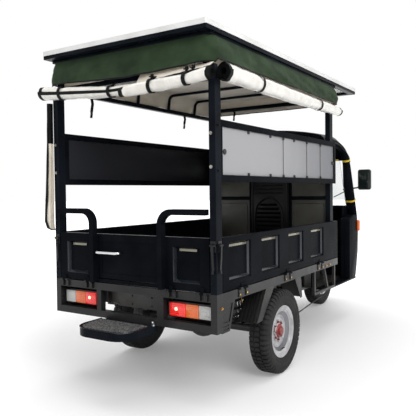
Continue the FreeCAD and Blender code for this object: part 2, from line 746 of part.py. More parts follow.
TAIL_KNUCKLE_FIXED = (13.0, 32.0)
TAIL_KNUCKLE_MOVING = 11.0
TAIL_LEAF_BACK = -8.0
TAIL_RECESS = (327.0, 504.0, 690.0, 888.0)
TAIL_RECESS_DRAFT = 12.0
SILL_HEIGHT = 20.0
GRAB_BEND = 92.0
DOOR_KNUCKLE_RADIUS = 5.5
DOOR_KNUCKLE_FIXED = (9.0, 24.0)
DOOR_KNUCKLE_MOVING = 8.0
DOOR_LEAF = (8.0, 26.0)
DOOR_FIELD_MARGIN = (30.0, 22.0)
DOOR_FIELD_DEPTH = 5.0
HANDLE_Z = 832.0
HANDLE_ENDS = (217.0, 42.0)
HANDLE_REACH = 46.0
HANDLE_RADIUS = 9.0


def tail_hinge(y, fixed):
    """Knuckles of one tailgate hinge: the outer pair is fixed, the middle one moves."""
    if fixed:
        near, far = TAIL_KNUCKLE_FIXED
        spans = ((y - far, y - near), (y + near, y + far))
        leaf_z = (TOP_BEAM_BOTTOM + 6, TAIL_HINGE_Z)
    else:
        spans = ((y - TAIL_KNUCKLE_MOVING, y + TAIL_KNUCKLE_MOVING),)
        leaf_z = (TAIL_HINGE_Z, GATE_BOTTOM + 26)
    pieces = []
    for y0, y1 in spans:
        pieces.append(crossbar(TAIL_HINGE_X, TAIL_HINGE_Z, KNUCKLE_RADIUS, y0, y1))
        pieces.append(box(TAIL_HINGE_X, TAIL_LEAF_BACK, y0, y1, leaf_z[0], leaf_z[1]))
        pieces.append(box(TAIL_LEAF_BACK, 0, y0, y1, leaf_z[0], leaf_z[1]))
    return pieces


def tailgate_panel():
    """Tailgate: end panels with recesses, a sill below the doorway and knuckles."""
    half = HALF_WIDTH - POST_WIDTH - GATE_GAP
    panel = box(0, GATE_THICKNESS, -half, half, GATE_BOTTOM, GATE_TOP)
    doorway = box(-1, GATE_THICKNESS + 1, -DOORWAY_HALF, DOORWAY_HALF, GATE_BOTTOM + SILL_HEIGHT,
                  GATE_TOP + 1)
    panel = panel.cut(doorway)
    near, far, low, high = TAIL_RECESS
    for y0, y1 in ((near, far), (-far, -near)):
        panel = panel.cut(pressed_recess((y0, y1, low, high), RECESS_DEPTH, TAIL_RECESS_DRAFT))
    pieces = [panel]
    for y in TAIL_HINGES:
        pieces += tail_hinge(y, False)
    return fuse(pieces)


def grab_rail():
    """Left bent hand rail, welded to the tailgate beside the doorway."""
    x0 = -GRAB_DEPTH
    inner = GRAB_INNER
    outer = HALF_WIDTH - POST_WIDTH - GATE_GAP
    top = GRAB_TOP
    radius = GRAB_BEND
    width = GRAB_WIDTH
    outside = bent_path([Vector(x0, inner, GATE_BOTTOM), Vector(x0, inner, top),
                         Vector(x0, outer, top)], radius)
    inside = bent_path([Vector(x0, outer, top - width), Vector(x0, inner + width, top - width),
                        Vector(x0, inner + width, GATE_BOTTOM)], radius - width)
    edges = list(outside.Edges) + list(inside.Edges)
    edges.append(Part.LineSegment(Vector(x0, outer, top), Vector(x0, outer, top - width)).toShape())
    edges.append(Part.LineSegment(Vector(x0, inner + width, GATE_BOTTOM),
                                  Vector(x0, inner, GATE_BOTTOM)).toShape())
    outline = Part.Wire(Part.__sortEdges__(edges))
    return Part.Face(outline).extrude(Vector(GRAB_DEPTH, 0, 0))


def door_hinge(z, fixed):
    """Knuckles of one door hinge: the outer pair is on the tailgate's hand rail."""
    near, far = DOOR_KNUCKLE_FIXED
    moving = DOOR_KNUCKLE_MOVING
    spans = ((z - far, z - near), (z + near, z + far)) if fixed else ((z - moving, z + moving),)
    leaf_start, leaf_end = DOOR_LEAF
    pieces = []
    for z0, z1 in spans:
        pieces.append(rod(Vector(DOOR_HINGE_X, DOOR_HINGE_Y, z0),
                          Vector(DOOR_HINGE_X, DOOR_HINGE_Y, z1), DOOR_KNUCKLE_RADIUS))
        if fixed:
            pieces.append(box(DOOR_HINGE_X - 3, DOOR_HINGE_X + 3, -GRAB_INNER, DOOR_HINGE_Y,
                              z0, z1))
        else:
            pieces.append(box(DOOR_HINGE_X, DOOR_HINGE_X + LEAF_PLATE, DOOR_HINGE_Y,
                              DOOR_HINGE_Y + leaf_end, z0, z1))
            pieces.append(box(DOOR_HINGE_X, 0, DOOR_HINGE_Y + leaf_start,
                              DOOR_HINGE_Y + leaf_end, z0, z1))
    return pieces


def rear_door():
    """Centre door with a shallow pressed field and hinge knuckles."""
    y0 = -DOORWAY_HALF + GATE_GAP
    y1 = DOORWAY_HALF - GATE_GAP
    z0 = GATE_BOTTOM + SILL_HEIGHT + GATE_GAP
    hinge_side, latch_side = DOOR_FIELD_MARGIN
    door = box(0, GATE_THICKNESS, y0, y1, z0, GATE_TOP)
    field = box(-1, DOOR_FIELD_DEPTH, y0 + hinge_side, y1 - latch_side, z0 + hinge_side,
                GATE_TOP - GATE_RAIL)
    pieces = [door.cut(field)]
    for z in DOOR_HINGES:
        pieces += door_hinge(z, False)
    return fuse(pieces)


def door_handle():
    """Bright pull handle across the door's left half."""
    left, right = HANDLE_ENDS
    points = [Vector(0, left, HANDLE_Z), Vector(-HANDLE_REACH, left, HANDLE_Z),
              Vector(-HANDLE_REACH, right, HANDLE_Z), Vector(DOOR_FIELD_DEPTH, right, HANDLE_Z)]
    return round_tube(points, HANDLE_RADIUS, 20)


LATCH_PLATE = 3.0
LATCH_HALF = 17.0
LATCH_LOW = 866.0
LATCH_HIGH = 926.0
LATCH_PIN_Z = 902.0
LATCH_PIN_RADIUS = 7.0
LEVER_HALF = 7.0
LEVER_FOOT = 752.0
LATCH_X = 32.0


def latch(out):
    """Over-centre latch: plate, pivot and a lever that hangs with its end turned out.

    It is made standing on the XZ plane at y = out, facing +Y, with its middle at x = 0.
    """
    pin_y = out + LATCH_PLATE + 4
    plate = box(-LATCH_HALF, LATCH_HALF, out, out + LATCH_PLATE, LATCH_LOW, LATCH_HIGH)
    pivot = crossbar_x(-LATCH_HALF, LATCH_HALF, pin_y, LATCH_PIN_Z, LATCH_PIN_RADIUS)
    lever = prism_yz([(out + LATCH_PLATE, LATCH_PIN_Z + 12), (pin_y + 7, LATCH_PIN_Z + 4),
                      (pin_y + 5, LATCH_LOW - 26), (out + 6, LEVER_FOOT + 22),
                      (out + 12, LEVER_FOOT), (out + 9, LEVER_FOOT - 2),
                      (out + 1, LEVER_FOOT + 24), (out + 1, LATCH_LOW - 4),
                      (out + LATCH_PLATE, LATCH_LOW)], -LEVER_HALF, LEVER_HALF)
    return fuse([plate, pivot, lever])


def gate_latches():
    """Latches on the side and rear faces of both rear corner posts."""
    side = latch(HALF_WIDTH)
    side.translate(Vector(LATCH_X, 0, 0))
    rear = latch(0)
    rear.rotate(Vector(0, 0, 0), Vector(0, 0, 1), 90)
    rear.translate(Vector(0, HALF_WIDTH - POST_WIDTH / 2, 0))
    return both_sides(side) + both_sides(rear)


# Canopy

FRONT_POST_DEPTH = 60.0
BOW_STATIONS = (400.0, 785.0, 1170.0, 1545.0)
BOW_TOP = 1970.0
BOW_RADIUS = 11.0
BOW_LEAN = 14.0
BOW_BEND = 45.0
FRONT_RAIL_Z = 1905.0
ROOF_FRAME_WIDTH = 45.0
ROOF_BARS = (0.0, 600.0, 1200.0, 1835.0)
ROOF_BAR_WIDTH = 40.0
ROOF_LIP = 4.0
ROOF_CORNER = 12.0
VALANCE_TOP_RING = (-12.0, 1878.0, 592.0, 45.0)
VALANCE_HEM_RING = (-30.0, 1896.0, 632.0, 50.0)


def canopy_posts():
    """Two rear corner posts and two inboard front posts."""
    inner = HALF_WIDTH - POST_WIDTH
    rear = box(0, POST_DEPTH, inner, HALF_WIDTH, FLOOR_TOP, CANOPY_RAIL_Z)
    front = box(FRONT_POST_X, FRONT_POST_X + FRONT_POST_DEPTH, FRONT_POST_OUT - POST_WIDTH,
                FRONT_POST_OUT, FLOOR_TOP, CANOPY_RAIL_Z)
    return both_sides(rear) + both_sides(front)


def canopy_bow(x):
    """Cross bow with bent ends, standing on the two side rails."""
    side = FRONT_POST_OUT - CANOPY_RAIL / 2
    base = CANOPY_RAIL_Z + CANOPY_RAIL
    points = [Vector(x, -side, base), Vector(x, -side + BOW_LEAN, BOW_TOP),
              Vector(x, side - BOW_LEAN, BOW_TOP), Vector(x, side, base)]
    return round_tube(points, BOW_RADIUS, BOW_BEND)


def canopy_frame():
    """Rails round the canopy, bows across it and the uprights under the roof."""
    z0 = CANOPY_RAIL_Z
    z1 = CANOPY_RAIL_Z + CANOPY_RAIL
    out = FRONT_POST_OUT
    inside = out - CANOPY_RAIL
    front = FRONT_POST_X + FRONT_POST_DEPTH
    under_roof = ROOF_TOP - ROOF_PANEL - ROOF_EDGE
    pieces = both_sides(box(0, front, inside, out, z0, z1))
    pieces.append(box(0, CANOPY_RAIL, -HALF_WIDTH, HALF_WIDTH, z0, z1))
    pieces.append(box(front - CANOPY_RAIL, front, 8 - out, out - 8, FRONT_RAIL_Z,
                      FRONT_RAIL_Z + CANOPY_RAIL))
    for x in (0, front - CANOPY_RAIL):
        pieces += both_sides(box(x, x + CANOPY_RAIL, inside - 8, out - 8, z1, under_roof))
    pieces += [canopy_bow(x) for x in BOW_STATIONS]
    return fuse(pieces)


def roof_panel():
    """Flat pale roof sheet over the bed and the cab."""
    panel = box(ROOF_REAR, ROOF_FRONT, -ROOF_HALF, ROOF_HALF, ROOF_TOP - ROOF_PANEL, ROOF_TOP)
    corners = [e for e in panel.Edges if abs(e.BoundBox.ZLength - ROOF_PANEL) < 1]
    return panel.makeFillet(ROOF_CORNER, corners)


def roof_edge():
    """Dark frame under the roof sheet, with cross members."""
    z1 = ROOF_TOP - ROOF_PANEL
    z0 = z1 - ROOF_EDGE
    out = ROOF_HALF - ROOF_LIP
    inside = out - ROOF_FRAME_WIDTH
    x0 = ROOF_REAR + ROOF_LIP
    x1 = ROOF_FRONT - ROOF_LIP
    ring = box(x0, x1, -out, out, z0, z1)
    ring = ring.cut(box(x0 + ROOF_FRAME_WIDTH, x1 - ROOF_FRAME_WIDTH, -inside, inside, z0, z1))
    bars = [box(x, x + ROOF_BAR_WIDTH, -inside, inside, z0, z1) for x in ROOF_BARS]
    return fuse([ring] + bars)


def ring_wire(x0, x1, half, z, corner):
    """Rounded rectangle in plan at a height."""
    plain = Part.makePlane(x1 - x0, 2 * half, Vector(x0, -half, z))
    shape = plain.extrude(Vector(0, 0, 1))
    verticals = [e for e in shape.Edges if abs(e.BoundBox.ZLength - 1) < 0.1]
    rounded = shape.makeFillet(corner, verticals)
    lowest = [f for f in rounded.Faces if abs(f.BoundBox.ZMax - z) < 0.01]
    return lowest[0].OuterWire


def valance():
    """Cloth skirt hung round the canopy below the roof, flared at its hem."""
    skins = []
    for inset in (0, VALANCE_WALL):
        rings = []
        for (x0, x1, half, corner), z in ((VALANCE_TOP_RING, VALANCE_TOP),
                                          (VALANCE_HEM_RING, VALANCE_BOTTOM)):
            rings.append(ring_wire(x0 + inset, x1 - inset, half - inset, z, corner - inset))
        skins.append(Part.makeLoft(rings, True, True))
    return skins[0].cut(skins[1])


ROLL_SIDES = 16
TAB_HALF = 15.0
TAB_TOP = CANOPY_RAIL_Z + 24


def rolled_curtain(sections, along_x, tabs):
    """Rolled sheet lofted through ellipses, with the tabs that hang it.

    Each section gives its centre, half width and half height; the roll lies along X
    or along Y.
    """
    wires = []
    for centre, half_width, half_height in sections:
        points = []
        for step in range(ROLL_SIDES):
            angle = 2 * math.pi * step / ROLL_SIDES
            side = half_width * math.cos(angle)
            up = Vector(0, 0, half_height * math.sin(angle))
            points.append(centre + (Vector(0, side, 0) if along_x else Vector(side, 0, 0)) + up)
        wires.append(Part.makePolygon(points + [points[0]]))
    return fuse([Part.makeLoft(wires, True, True)] + tabs)


def curtain_rolls():
    """Rolled-up clear curtains: two across the rear and one along the right."""
    def rear_tab(y, low, reach=50):
        return box(-reach, 0, y - TAB_HALF, y + TAB_HALF, low, TAB_TOP)

    rear_left = rolled_curtain([(Vector(-64, 632, 1821), 44, 45), (Vector(-62, 459, 1805), 42, 43),
                                (Vector(-52, 64, 1776), 38, 36),
                                (Vector(-38, -120, 1782), 28, 29)], False,
                               [rear_tab(505, 1815), rear_tab(135, 1790)])
    rear_right = rolled_curtain([(Vector(-108, -62, 1751), 30, 30),
                                 (Vector(-100, -150, 1760), 32, 36),
                                 (Vector(-80, -240, 1768), 36, 40),
                                 (Vector(-72, -465, 1779), 34, 34),
                                 (Vector(-66, -640, 1802), 34, 37)], False,
                                [rear_tab(-545, 1795), rear_tab(-205, 1775, 90)])
    post_tab = box(12, 42, -640, -HALF_WIDTH, 1795, 1825)
    rail_tabs = [box(x - TAB_HALF, x + TAB_HALF, -640, -FRONT_POST_OUT, CANOPY_RAIL_Z + 2,
                     TAB_TOP) for x in (700, 1500)]
    right = rolled_curtain([(Vector(4, -664, 1813), 48, 58), (Vector(880, -658, 1806), 44, 50),
                            (Vector(1784, -652, 1812), 40, 38)], True, [post_tab] + rail_tabs)
    return [rear_left, rear_right, right]


GATHERED_FRONT = 10.0
GATHERED = ((1765.0, 22.0, 42.0), (1300.0, 20.0, 36.0), (1080.0, 28.0, 42.0),
            (960.0, 22.0, 30.0))


def curtain_gathered():
    """Left curtain gathered and tied along the rear post, in sections down its length.

    Each section gives its height, half its depth along X and how far it stands out.
    """
    sections = []
    y0 = HALF_WIDTH
    for z, half, out in GATHERED:
        x0 = GATHERED_FRONT - 2 * half
        sections.append(Part.makePolygon([
            Vector(x0, y0, z), Vector(x0 + 2 * half, y0, z),
            Vector(x0 + 2 * half - 8, y0 + out, z), Vector(x0 + 8, y0 + out, z),
            Vector(x0, y0, z)]))
    return Part.makeLoft(sections, True, True)


PANEL_DEPTH = 25.0
PANEL_SHEET = (8.0, 13.0)


def side_panel():
    """Left upper side panel: a frame round a thin sheet."""
    y0 = FRONT_POST_OUT
    x0 = POST_DEPTH
    x1 = FRONT_POST_X + FRONT_POST_DEPTH
    frame = box(x0, x1, y0, y0 + PANEL_DEPTH, PANEL_BOTTOM, PANEL_TOP)
    field = (x0 + PANEL_RAIL, x1 - PANEL_RAIL)
    heights = (PANEL_BOTTOM + PANEL_RAIL, PANEL_TOP - PANEL_RAIL)
    opening = box(*field, y0, y0 + PANEL_DEPTH, *heights)
    sheet = box(*field, y0 + PANEL_SHEET[0], y0 + PANEL_SHEET[1], *heights)
    return fuse([frame.cut(opening), sheet])


# Cab

BULKHEAD_X = FRONT_POST_X + 15
BULKHEAD_BAR = 30.0
BULKHEAD_RAIL = 32.0
BULKHEAD_SHEET = (12.0, 16.0)
BULKHEAD_STILES = (-100.0, 300.0)
MOULDING_DEPTH = 12.0
MOULDING_LOW = 700.0
ARCH_OUTER = ((278.0, 760.0), (278.0, 948.0), (163.0, 1100.0), (68.0, 1100.0), (-11.0, 953.0),
              (-11.0, 760.0))
ARCH_INNER = ((262.0, 776.0), (262.0, 942.0), (156.0, 1084.0), (77.0, 1084.0), (5.0, 948.0),
              (5.0, 776.0))
LOUVRES = 6
LOUVRE_LOW = 800.0
LOUVRE_PITCH = 45.0
LOUVRE_HEIGHT = 22.0
LOUVRE_SPAN = (30.0, 236.0)


def bulkhead():
    """Wall between bed and cab: frame tubes with sheets between them."""
    x0 = BULKHEAD_X
    x1 = x0 + BULKHEAD_BAR
    inner = FRONT_POST_OUT - POST_WIDTH
    under = BULKHEAD_TOP - BULKHEAD_RAIL
    sheet = box(x0 + BULKHEAD_SHEET[0], x0 + BULKHEAD_SHEET[1], -inner, inner, FLOOR_TOP, under)
    bars = [box(x0, x1, -inner, inner, under, BULKHEAD_TOP)]
    bars += [box(x0, x1, y, y + BULKHEAD_BAR, FLOOR_TOP, under) for y in BULKHEAD_STILES]
    return fuse([sheet] + bars)


def bulkhead_moulding():
    """Moulded centre panel of the bulkhead with an arch rib and sloping louvres."""
    x1 = BULKHEAD_X
    x0 = x1 - MOULDING_DEPTH
    face = x0 + MOULDING_DEPTH / 2
    base = box(face, x1, BULKHEAD_STILES[0] + BULKHEAD_BAR, BULKHEAD_STILES[1], MOULDING_LOW,
               BULKHEAD_TOP - BULKHEAD_RAIL - 8)
    rib = prism_yz(ARCH_OUTER, x0, face).cut(prism_yz(ARCH_INNER, x0, face))
    louvres = []
    for index in range(LOUVRES):
        z = LOUVRE_LOW + index * LOUVRE_PITCH
        louvres.append(prism_xz([(face, z), (x0, z + 3), (x0, z + 7), (face, z + LOUVRE_HEIGHT)],
                                *LOUVRE_SPAN))
    return fuse([base, rib] + louvres)


def arc_tube(start, middle, end, radius):
    """Round tube along an arc through three points."""
    path = Part.Wire(Part.Arc(start, middle, end).toShape())
    along = path.Edges[0].tangentAt(path.Edges[0].FirstParameter)
    ring = Part.Wire(Part.Circle(start, along, radius).toShape())
    return path.makePipeShell([ring], True, False)


def pillar_lean():
    """Backward lean of the windscreen pillars, in X for each unit of height."""
    return (PILLAR_FOOT_X - HEADER_X) / (WINDSCREEN_TOP - FAIRING_TOP)


HOOP_BEND = 120.0
HOOP_SHOULDER_X = 2250.0
PILLAR_BASE_X = 2588.0
PILLAR_JOINT_DROP = 80.0


def cab_frame():
    """Side hoops, header, dash bar and sills that carry the roof and windscreen."""
    pieces = []
    waist_x = PILLAR_FOOT_X + pillar_lean() * PILLAR_JOINT_DROP
    for side in (-1, 1):
        y = side * PILLAR_Y
        hoop = [Vector(waist_x, y, FAIRING_TOP - PILLAR_JOINT_DROP),
                Vector(HEADER_X, y, WINDSCREEN_TOP),
                Vector(HOOP_SHOULDER_X, y, CAB_HOOP_Z), Vector(CAB_HOOP_X, y, CAB_HOOP_Z)]
        pieces.append(round_tube(hoop, PILLAR_RADIUS, HOOP_BEND))
        pieces.append(Part.makeSphere(PILLAR_RADIUS, hoop[0]))
        pieces.append(Part.makeSphere(PILLAR_RADIUS, hoop[3]))
        pieces.append(rod(hoop[0], Vector(PILLAR_BASE_X, y, CAB_FLOOR), PILLAR_RADIUS))
        pieces.append(rod(hoop[3], Vector(CAB_HOOP_X, y, CAB_FLOOR), PILLAR_RADIUS))
    pieces.append(crossbar(HEADER_X, WINDSCREEN_TOP, CAB_TUBE_RADIUS, -PILLAR_Y, PILLAR_Y))
    pieces.append(crossbar(CAB_HOOP_X, CAB_HOOP_Z, CAB_TUBE_RADIUS, -PILLAR_Y, PILLAR_Y))
    pieces.append(arc_tube(Vector(PILLAR_FOOT_X, -PILLAR_Y, FAIRING_TOP),
                           Vector(PILLAR_FOOT_X + DASH_BULGE, 0, FAIRING_TOP),
                           Vector(PILLAR_FOOT_X, PILLAR_Y, FAIRING_TOP), CAB_TUBE_RADIUS))
    below_floor = box(HEADER_X, PILLAR_FOOT_X + 2 * PILLAR_RADIUS, -CAB_HALF, CAB_HALF,
                      CAB_FLOOR - 4 * PILLAR_RADIUS, CAB_FLOOR)
    return fuse(pieces).cut(below_floor)


CAB_ROOF_REAR = CAB_REAR - 30
CAB_ROOF_EAVE = 1450.0
CAB_ROOF_SIDE = ((2120.0, 1666.0), (2260.0, 1644.0), (2360.0, 1590.0))
CAB_ROOF_BROW = ((2425.0, 1520.0), (2462.0, 1450.0))
CAB_ROOF_CROSS = ((0.0, 1590.0), (40.0, 1632.0))
CAB_ROOF_HAUNCH = (0.55, 1660.0)
CAB_ROOF_WALL = 6.0
CAB_ROOF_HEM = 1560.0
BROW_HEM = 1472.0
BROW_START = (2300.0, 2390.0)
BROW_END = 2480.0


def crossed(side_outline, cross_outline, x0, x1, half):
    """Form that fills both a side outline and a cross outline."""
    return prism_xz(side_outline, -half, half).common(prism_yz(cross_outline, x0, x1))


def roof_loaf(inset):
    """Crowned roof form, drawn in by an inset for its inner face."""
    side = [(CAB_ROOF_REAR, CAB_ROOF_EAVE), (CAB_ROOF_REAR, CAB_ROOF_CROWN - inset)]
    side += [(x, z - inset) for x, z in CAB_ROOF_SIDE]
    side += [(x - inset, z) for x, z in CAB_ROOF_BROW]
    half = CAB_HALF + 2 - inset
    haunch, haunch_z = CAB_ROOF_HAUNCH
    slope = [(-half + step, z - inset) for step, z in CAB_ROOF_CROSS]
    slope.append((-half * haunch, haunch_z - inset))
    cross = [(-half, CAB_ROOF_EAVE)] + slope + [(0, CAB_ROOF_CROWN - inset)]
    cross += [(-y, z) for y, z in reversed(slope)] + [(half, CAB_ROOF_EAVE)]
    return crossed(side, cross, CAB_ROOF_REAR, BROW_END, half)


def cab_roof(frame):
    """Moulded cab roof with a brow over the header, a crowned skin open below."""
    shell = roof_loaf(0).cut(roof_loaf(CAB_ROOF_WALL))
    above = CAB_ROOF_CROWN + 28
    brow = [(CAB_ROOF_REAR, CAB_ROOF_HEM), (BROW_START[0], CAB_ROOF_HEM),
            (BROW_START[1], BROW_HEM), (BROW_END, BROW_HEM), (BROW_END, above),
            (CAB_ROOF_REAR, above)]
    return shell.common(prism_xz(brow, -HALF_WIDTH, HALF_WIDTH)).cut(frame)


GLASS = 6.0
SCREEN_TOP_BULGE = 10.0


def screen_edge(x, bulge, z):
    """Closed outline of the curved screen at a height."""
    half = PILLAR_Y
    out = x + GLASS
    edges = [
        Part.Arc(Vector(out, -half, z), Vector(out + bulge, 0, z), Vector(out, half, z)),
        Part.LineSegment(Vector(out, half, z), Vector(x, half, z)),
        Part.Arc(Vector(x, half, z), Vector(x + bulge, 0, z), Vector(x, -half, z)),
        Part.LineSegment(Vector(x, -half, z), Vector(out, -half, z)),
    ]
    return Part.Wire([edge.toShape() for edge in edges])


def windscreen(frame):
    """Curved laminated windscreen between the pillars."""
    top = WINDSCREEN_TOP - CAB_TUBE_RADIUS
    top_x = PILLAR_FOOT_X - pillar_lean() * (top - FAIRING_TOP)
    glass = Part.makeLoft([screen_edge(PILLAR_FOOT_X, SCREEN_BULGE, FAIRING_TOP),
                           screen_edge(top_x, SCREEN_TOP_BULGE, top)], True, True)
    return glass.cut(frame)


FAIRING_REAR = 2500.0
FAIRING_LOW = 330.0
CHIN = ((2622.0, 330.0), (2640.0, 600.0), (2690.0, 640.0), (2882.0, 655.0))
NOSE = ((2872.0, 790.0), (2815.0, 905.0), (2742.0, 985.0), (2694.0, 1030.0))
NOSE_PLAN = ((2790.0, 58.0), (2855.0, 228.0), (2885.0, 358.0))
CHEEK_X = 2722.0
FAIRING_WALL = 8.0
COWL_INSET = 4.0
STEM_ROOM = 52.0


def fairing_loaf(inset):
    """Nose form from side and plan outlines, drawn in for its inner face."""
    (foot_x, foot_z), (shin_x, shin_z) = CHIN[:2]
    side = [(FAIRING_REAR, foot_z), (foot_x - inset, foot_z), (shin_x - inset, shin_z)]
    side += [(x - inset, z + inset) for x, z in CHIN[2:]]
    side += [(x - inset, z) for x, z in NOSE] + [(FAIRING_REAR, FAIRING_TOP)]
    half = CAB_HALF + 8 - inset
    cheek = [(CHEEK_X - inset, -half)]
    cheek += [(x - inset, -half + step) for x, step in NOSE_PLAN]
    plan = [(FAIRING_REAR, -half)] + cheek
    plan += [(x, -y) for x, y in reversed(cheek)] + [(FAIRING_REAR, half)]
    return prism_xz(side, -half, half).common(prism_xy(plan, FAIRING_LOW - 1, FAIRING_TOP + 1))


def front_fairing(frame, chassis, lamps):
    """Moulded nose and leg shield, open to the cab, with the cowl below the screen."""
    shell = fairing_loaf(0).cut(fairing_loaf(FAIRING_WALL))
    cowl = fairing_loaf(COWL_INSET).common(box(PILLAR_FOOT_X + FAIRING_WALL, FRONT_AXLE_X,
                                               -CAB_HALF, CAB_HALF,
                                               FAIRING_TOP - FAIRING_WALL, FAIRING_TOP))
    head_room = rod(steer_point(CROWN_Z - 25), steer_point(FAIRING_TOP), STEM_ROOM)
    skin = fuse([shell, cowl]).cut(head_room)
    skin = skin.cut(frame).cut(chassis).cut(Part.makeCompound(lamps))
    return max(skin.Solids, key=lambda solid: solid.Volume)


FLOOR_PLATE = 4.0
FLOOR_LIP = 46.0
CAB_FLOOR_FRONT = 2614.0
SEAT_BOX = (1920.0, 2290.0, 300.0)
SEAT_BOX_WALL = 6.0
SEAT_BOX_TOP = 650.0
CUSHION_HALF = 310.0
CUSHION_SIDE = ((1925.0, 650.0), (2300.0, 650.0), (2318.0, 668.0), (2320.0, 706.0),
                (2300.0, 738.0), (2160.0, 742.0), (1970.0, 722.0), (1925.0, 722.0))
BACKREST_HALF = 300.0
BACKREST_SIDE = ((1890.0, 745.0), (1952.0, 745.0), (1962.0, 790.0), (1952.0, 930.0),
                 (1936.0, 1085.0), (1922.0, 1105.0), (1892.0, 1105.0), (1885.0, 1085.0))
SEAT_ROUND = 14.0


def cab_floor(chassis):
    """Footwell floor with turned-down sides and the seat base."""
    rear = FRONT_POST_X + FRONT_POST_DEPTH
    under = CAB_FLOOR - FLOOR_PLATE
    x0, x1, half = SEAT_BOX
    wall = SEAT_BOX_WALL
    floor = box(rear, CAB_FLOOR_FRONT, -CAB_HALF, CAB_HALF, under, CAB_FLOOR)
    lips = both_sides(box(rear, CAB_FLOOR_FRONT - 14, CAB_HALF - FLOOR_PLATE, CAB_HALF,
                          CAB_FLOOR - FLOOR_LIP, CAB_FLOOR))
    seat_box = box(x0, x1, -half, half, CAB_FLOOR, SEAT_BOX_TOP)
    hollow = box(x0 + wall, x1 - wall, wall - half, half - wall, CAB_FLOOR, SEAT_BOX_TOP - wall)
    return fuse([floor, seat_box.cut(hollow)] + lips).cut(chassis)


def driver_seat():
    """Bench cushion with a rolled front edge, and a backrest with a rolled head."""
    pads = []
    for outline, half in ((CUSHION_SIDE, CUSHION_HALF), (BACKREST_SIDE, BACKREST_HALF)):
        pad = prism_xz(outline, -half, half)
        ends = [e for e in pad.Edges if e.BoundBox.YLength < 1]
        pads.append(pad.makeFillet(SEAT_ROUND, ends))
    return pads


HEADLAMP = (2838.0, 770.0, 80.0, 60.0)
HEADLAMP_AIM = 0.1
TURN_LAMP = (2662.0, 2718.0, 8.0, 30.0, 788.0, 892.0)


def front_lamps():
    """Headlamp on the nose and a turn lamp on each side of the fairing."""
    x, z, radius, length = HEADLAMP
    headlamp = Part.makeCylinder(radius, length, Vector(x, 0, z), Vector(1, 0, HEADLAMP_AIM))
    x0, x1, inner, outer, z0, z1 = TURN_LAMP
    turn = box(x0, x1, CAB_HALF + inner, CAB_HALF + outer, z0, z1)
    turn = turn.makeFillet(8, [e for e in turn.Edges if e.BoundBox.YMin > CAB_HALF + outer - 1])
    return [headlamp] + both_sides(turn)


MIRROR_ARM_Z = 1190.0
MIRROR_ARM = ((2568.0, 560.0, 1210.0), (2570.0, 615.0, 1262.0))
MIRROR_ARM_RADIUS = 7.0
MIRROR_HEAD = (2555.0, 2585.0, 566.0, 684.0, 1190.0, 1376.0)


def mirror(frame):
    """Left mirror head, its back rounded, on its bent arm from the pillar."""
    start = PILLAR_FOOT_X - pillar_lean() * (MIRROR_ARM_Z - FAIRING_TOP)
    bends = [Vector(*point) for point in MIRROR_ARM]
    arm = round_tube([Vector(start, PILLAR_Y + 4, MIRROR_ARM_Z)] + bends, MIRROR_ARM_RADIUS, 30)
    head = box(*MIRROR_HEAD)
    head = head.makeFillet(20, [e for e in head.Edges if e.BoundBox.XLength > 25])
    back = [e for e in head.Edges if e.BoundBox.XMin > MIRROR_HEAD[1] - 1]
    head = head.makeFillet(12, back)
    return fuse([arm.cut(frame), head])


# Steering

STEM_RADIUS = 22.0
STEM_TOP = 1010.0
LEG_RADIUS = 16.0
SLIDER_RADIUS = 19.0
SLIDER_SHARE = 0.22
CROWN_BALL = 24.0
AXLE_LUG = (28.0, 12.0)
FRONT_AXLE_HALF = 100.0


def fork():
    """Stem, crown and fork legs, thicker over their sliders, carrying the front axle."""
    crown = rod(steer_point(CROWN_Z, -LEG_Y), steer_point(CROWN_Z, LEG_Y), STEM_RADIUS)
    pieces = [rod(steer_point(CROWN_Z), steer_point(STEM_TOP), STEM_RADIUS), crown,
              crossbar(FRONT_AXLE_X, TYRE_RADIUS, FRONT_AXLE_RADIUS, -FRONT_AXLE_HALF,
                       FRONT_AXLE_HALF)]
    lug_radius, lug_half = AXLE_LUG
    for side in (-1, 1):
        y = side * LEG_Y
        top = steer_point(CROWN_Z, y)
        foot = Vector(FRONT_AXLE_X, y, TYRE_RADIUS)
        pieces.append(rod(top, foot, LEG_RADIUS))
        pieces.append(rod(top + (foot - top) * SLIDER_SHARE, foot, SLIDER_RADIUS))
        pieces.append(Part.makeSphere(CROWN_BALL, top))
        pieces.append(crossbar(FRONT_AXLE_X, TYRE_RADIUS, lug_radius, y - lug_half,
                               y + lug_half))
    return fuse(pieces)


BAR_RADIUS = 11.0
BAR_BEND = 50.0
BAR_END = (200.0, 290.0, 10.0)
BAR_ELBOW = (60.0, 200.0)
BAR_STRAIGHT = 90.0
GRIP_START = (108.0, 231.0, 3.4)
GRIP_RADIUS = 17.0
CLAMP_HALF_WIDTH = 50.0


def handlebar(stem):
    """Swept handlebar with grips, clamped to the stem's end."""
    centre = steer_point(STEM_TOP) - Vector(BAR_BACK, 0, 0)
    back, out, rise = BAR_END
    elbow_back, elbow_out = BAR_ELBOW
    right_half = [Vector(centre.x - back, -out, HANDLEBAR_Z + rise),
                  Vector(centre.x - elbow_back, -elbow_out, HANDLEBAR_Z),
                  Vector(centre.x, -BAR_STRAIGHT, HANDLEBAR_Z)]
    left_half = [Vector(p.x, -p.y, p.z) for p in reversed(right_half)]
    bar = round_tube(right_half + left_half, BAR_RADIUS, BAR_BEND)
    clamp = box(centre.x - 28, centre.x + BAR_BACK + 26, -CLAMP_HALF_WIDTH, CLAMP_HALF_WIDTH,
                STEM_TOP - 6, HANDLEBAR_Z + 8)
    start_back, start_out, start_rise = GRIP_START
    grip = rod(Vector(centre.x - start_back, start_out, HANDLEBAR_Z + start_rise),
               Vector(centre.x - back, out, HANDLEBAR_Z + rise), GRIP_RADIUS)
    return fuse([bar, clamp] + both_sides(grip)).cut(stem)


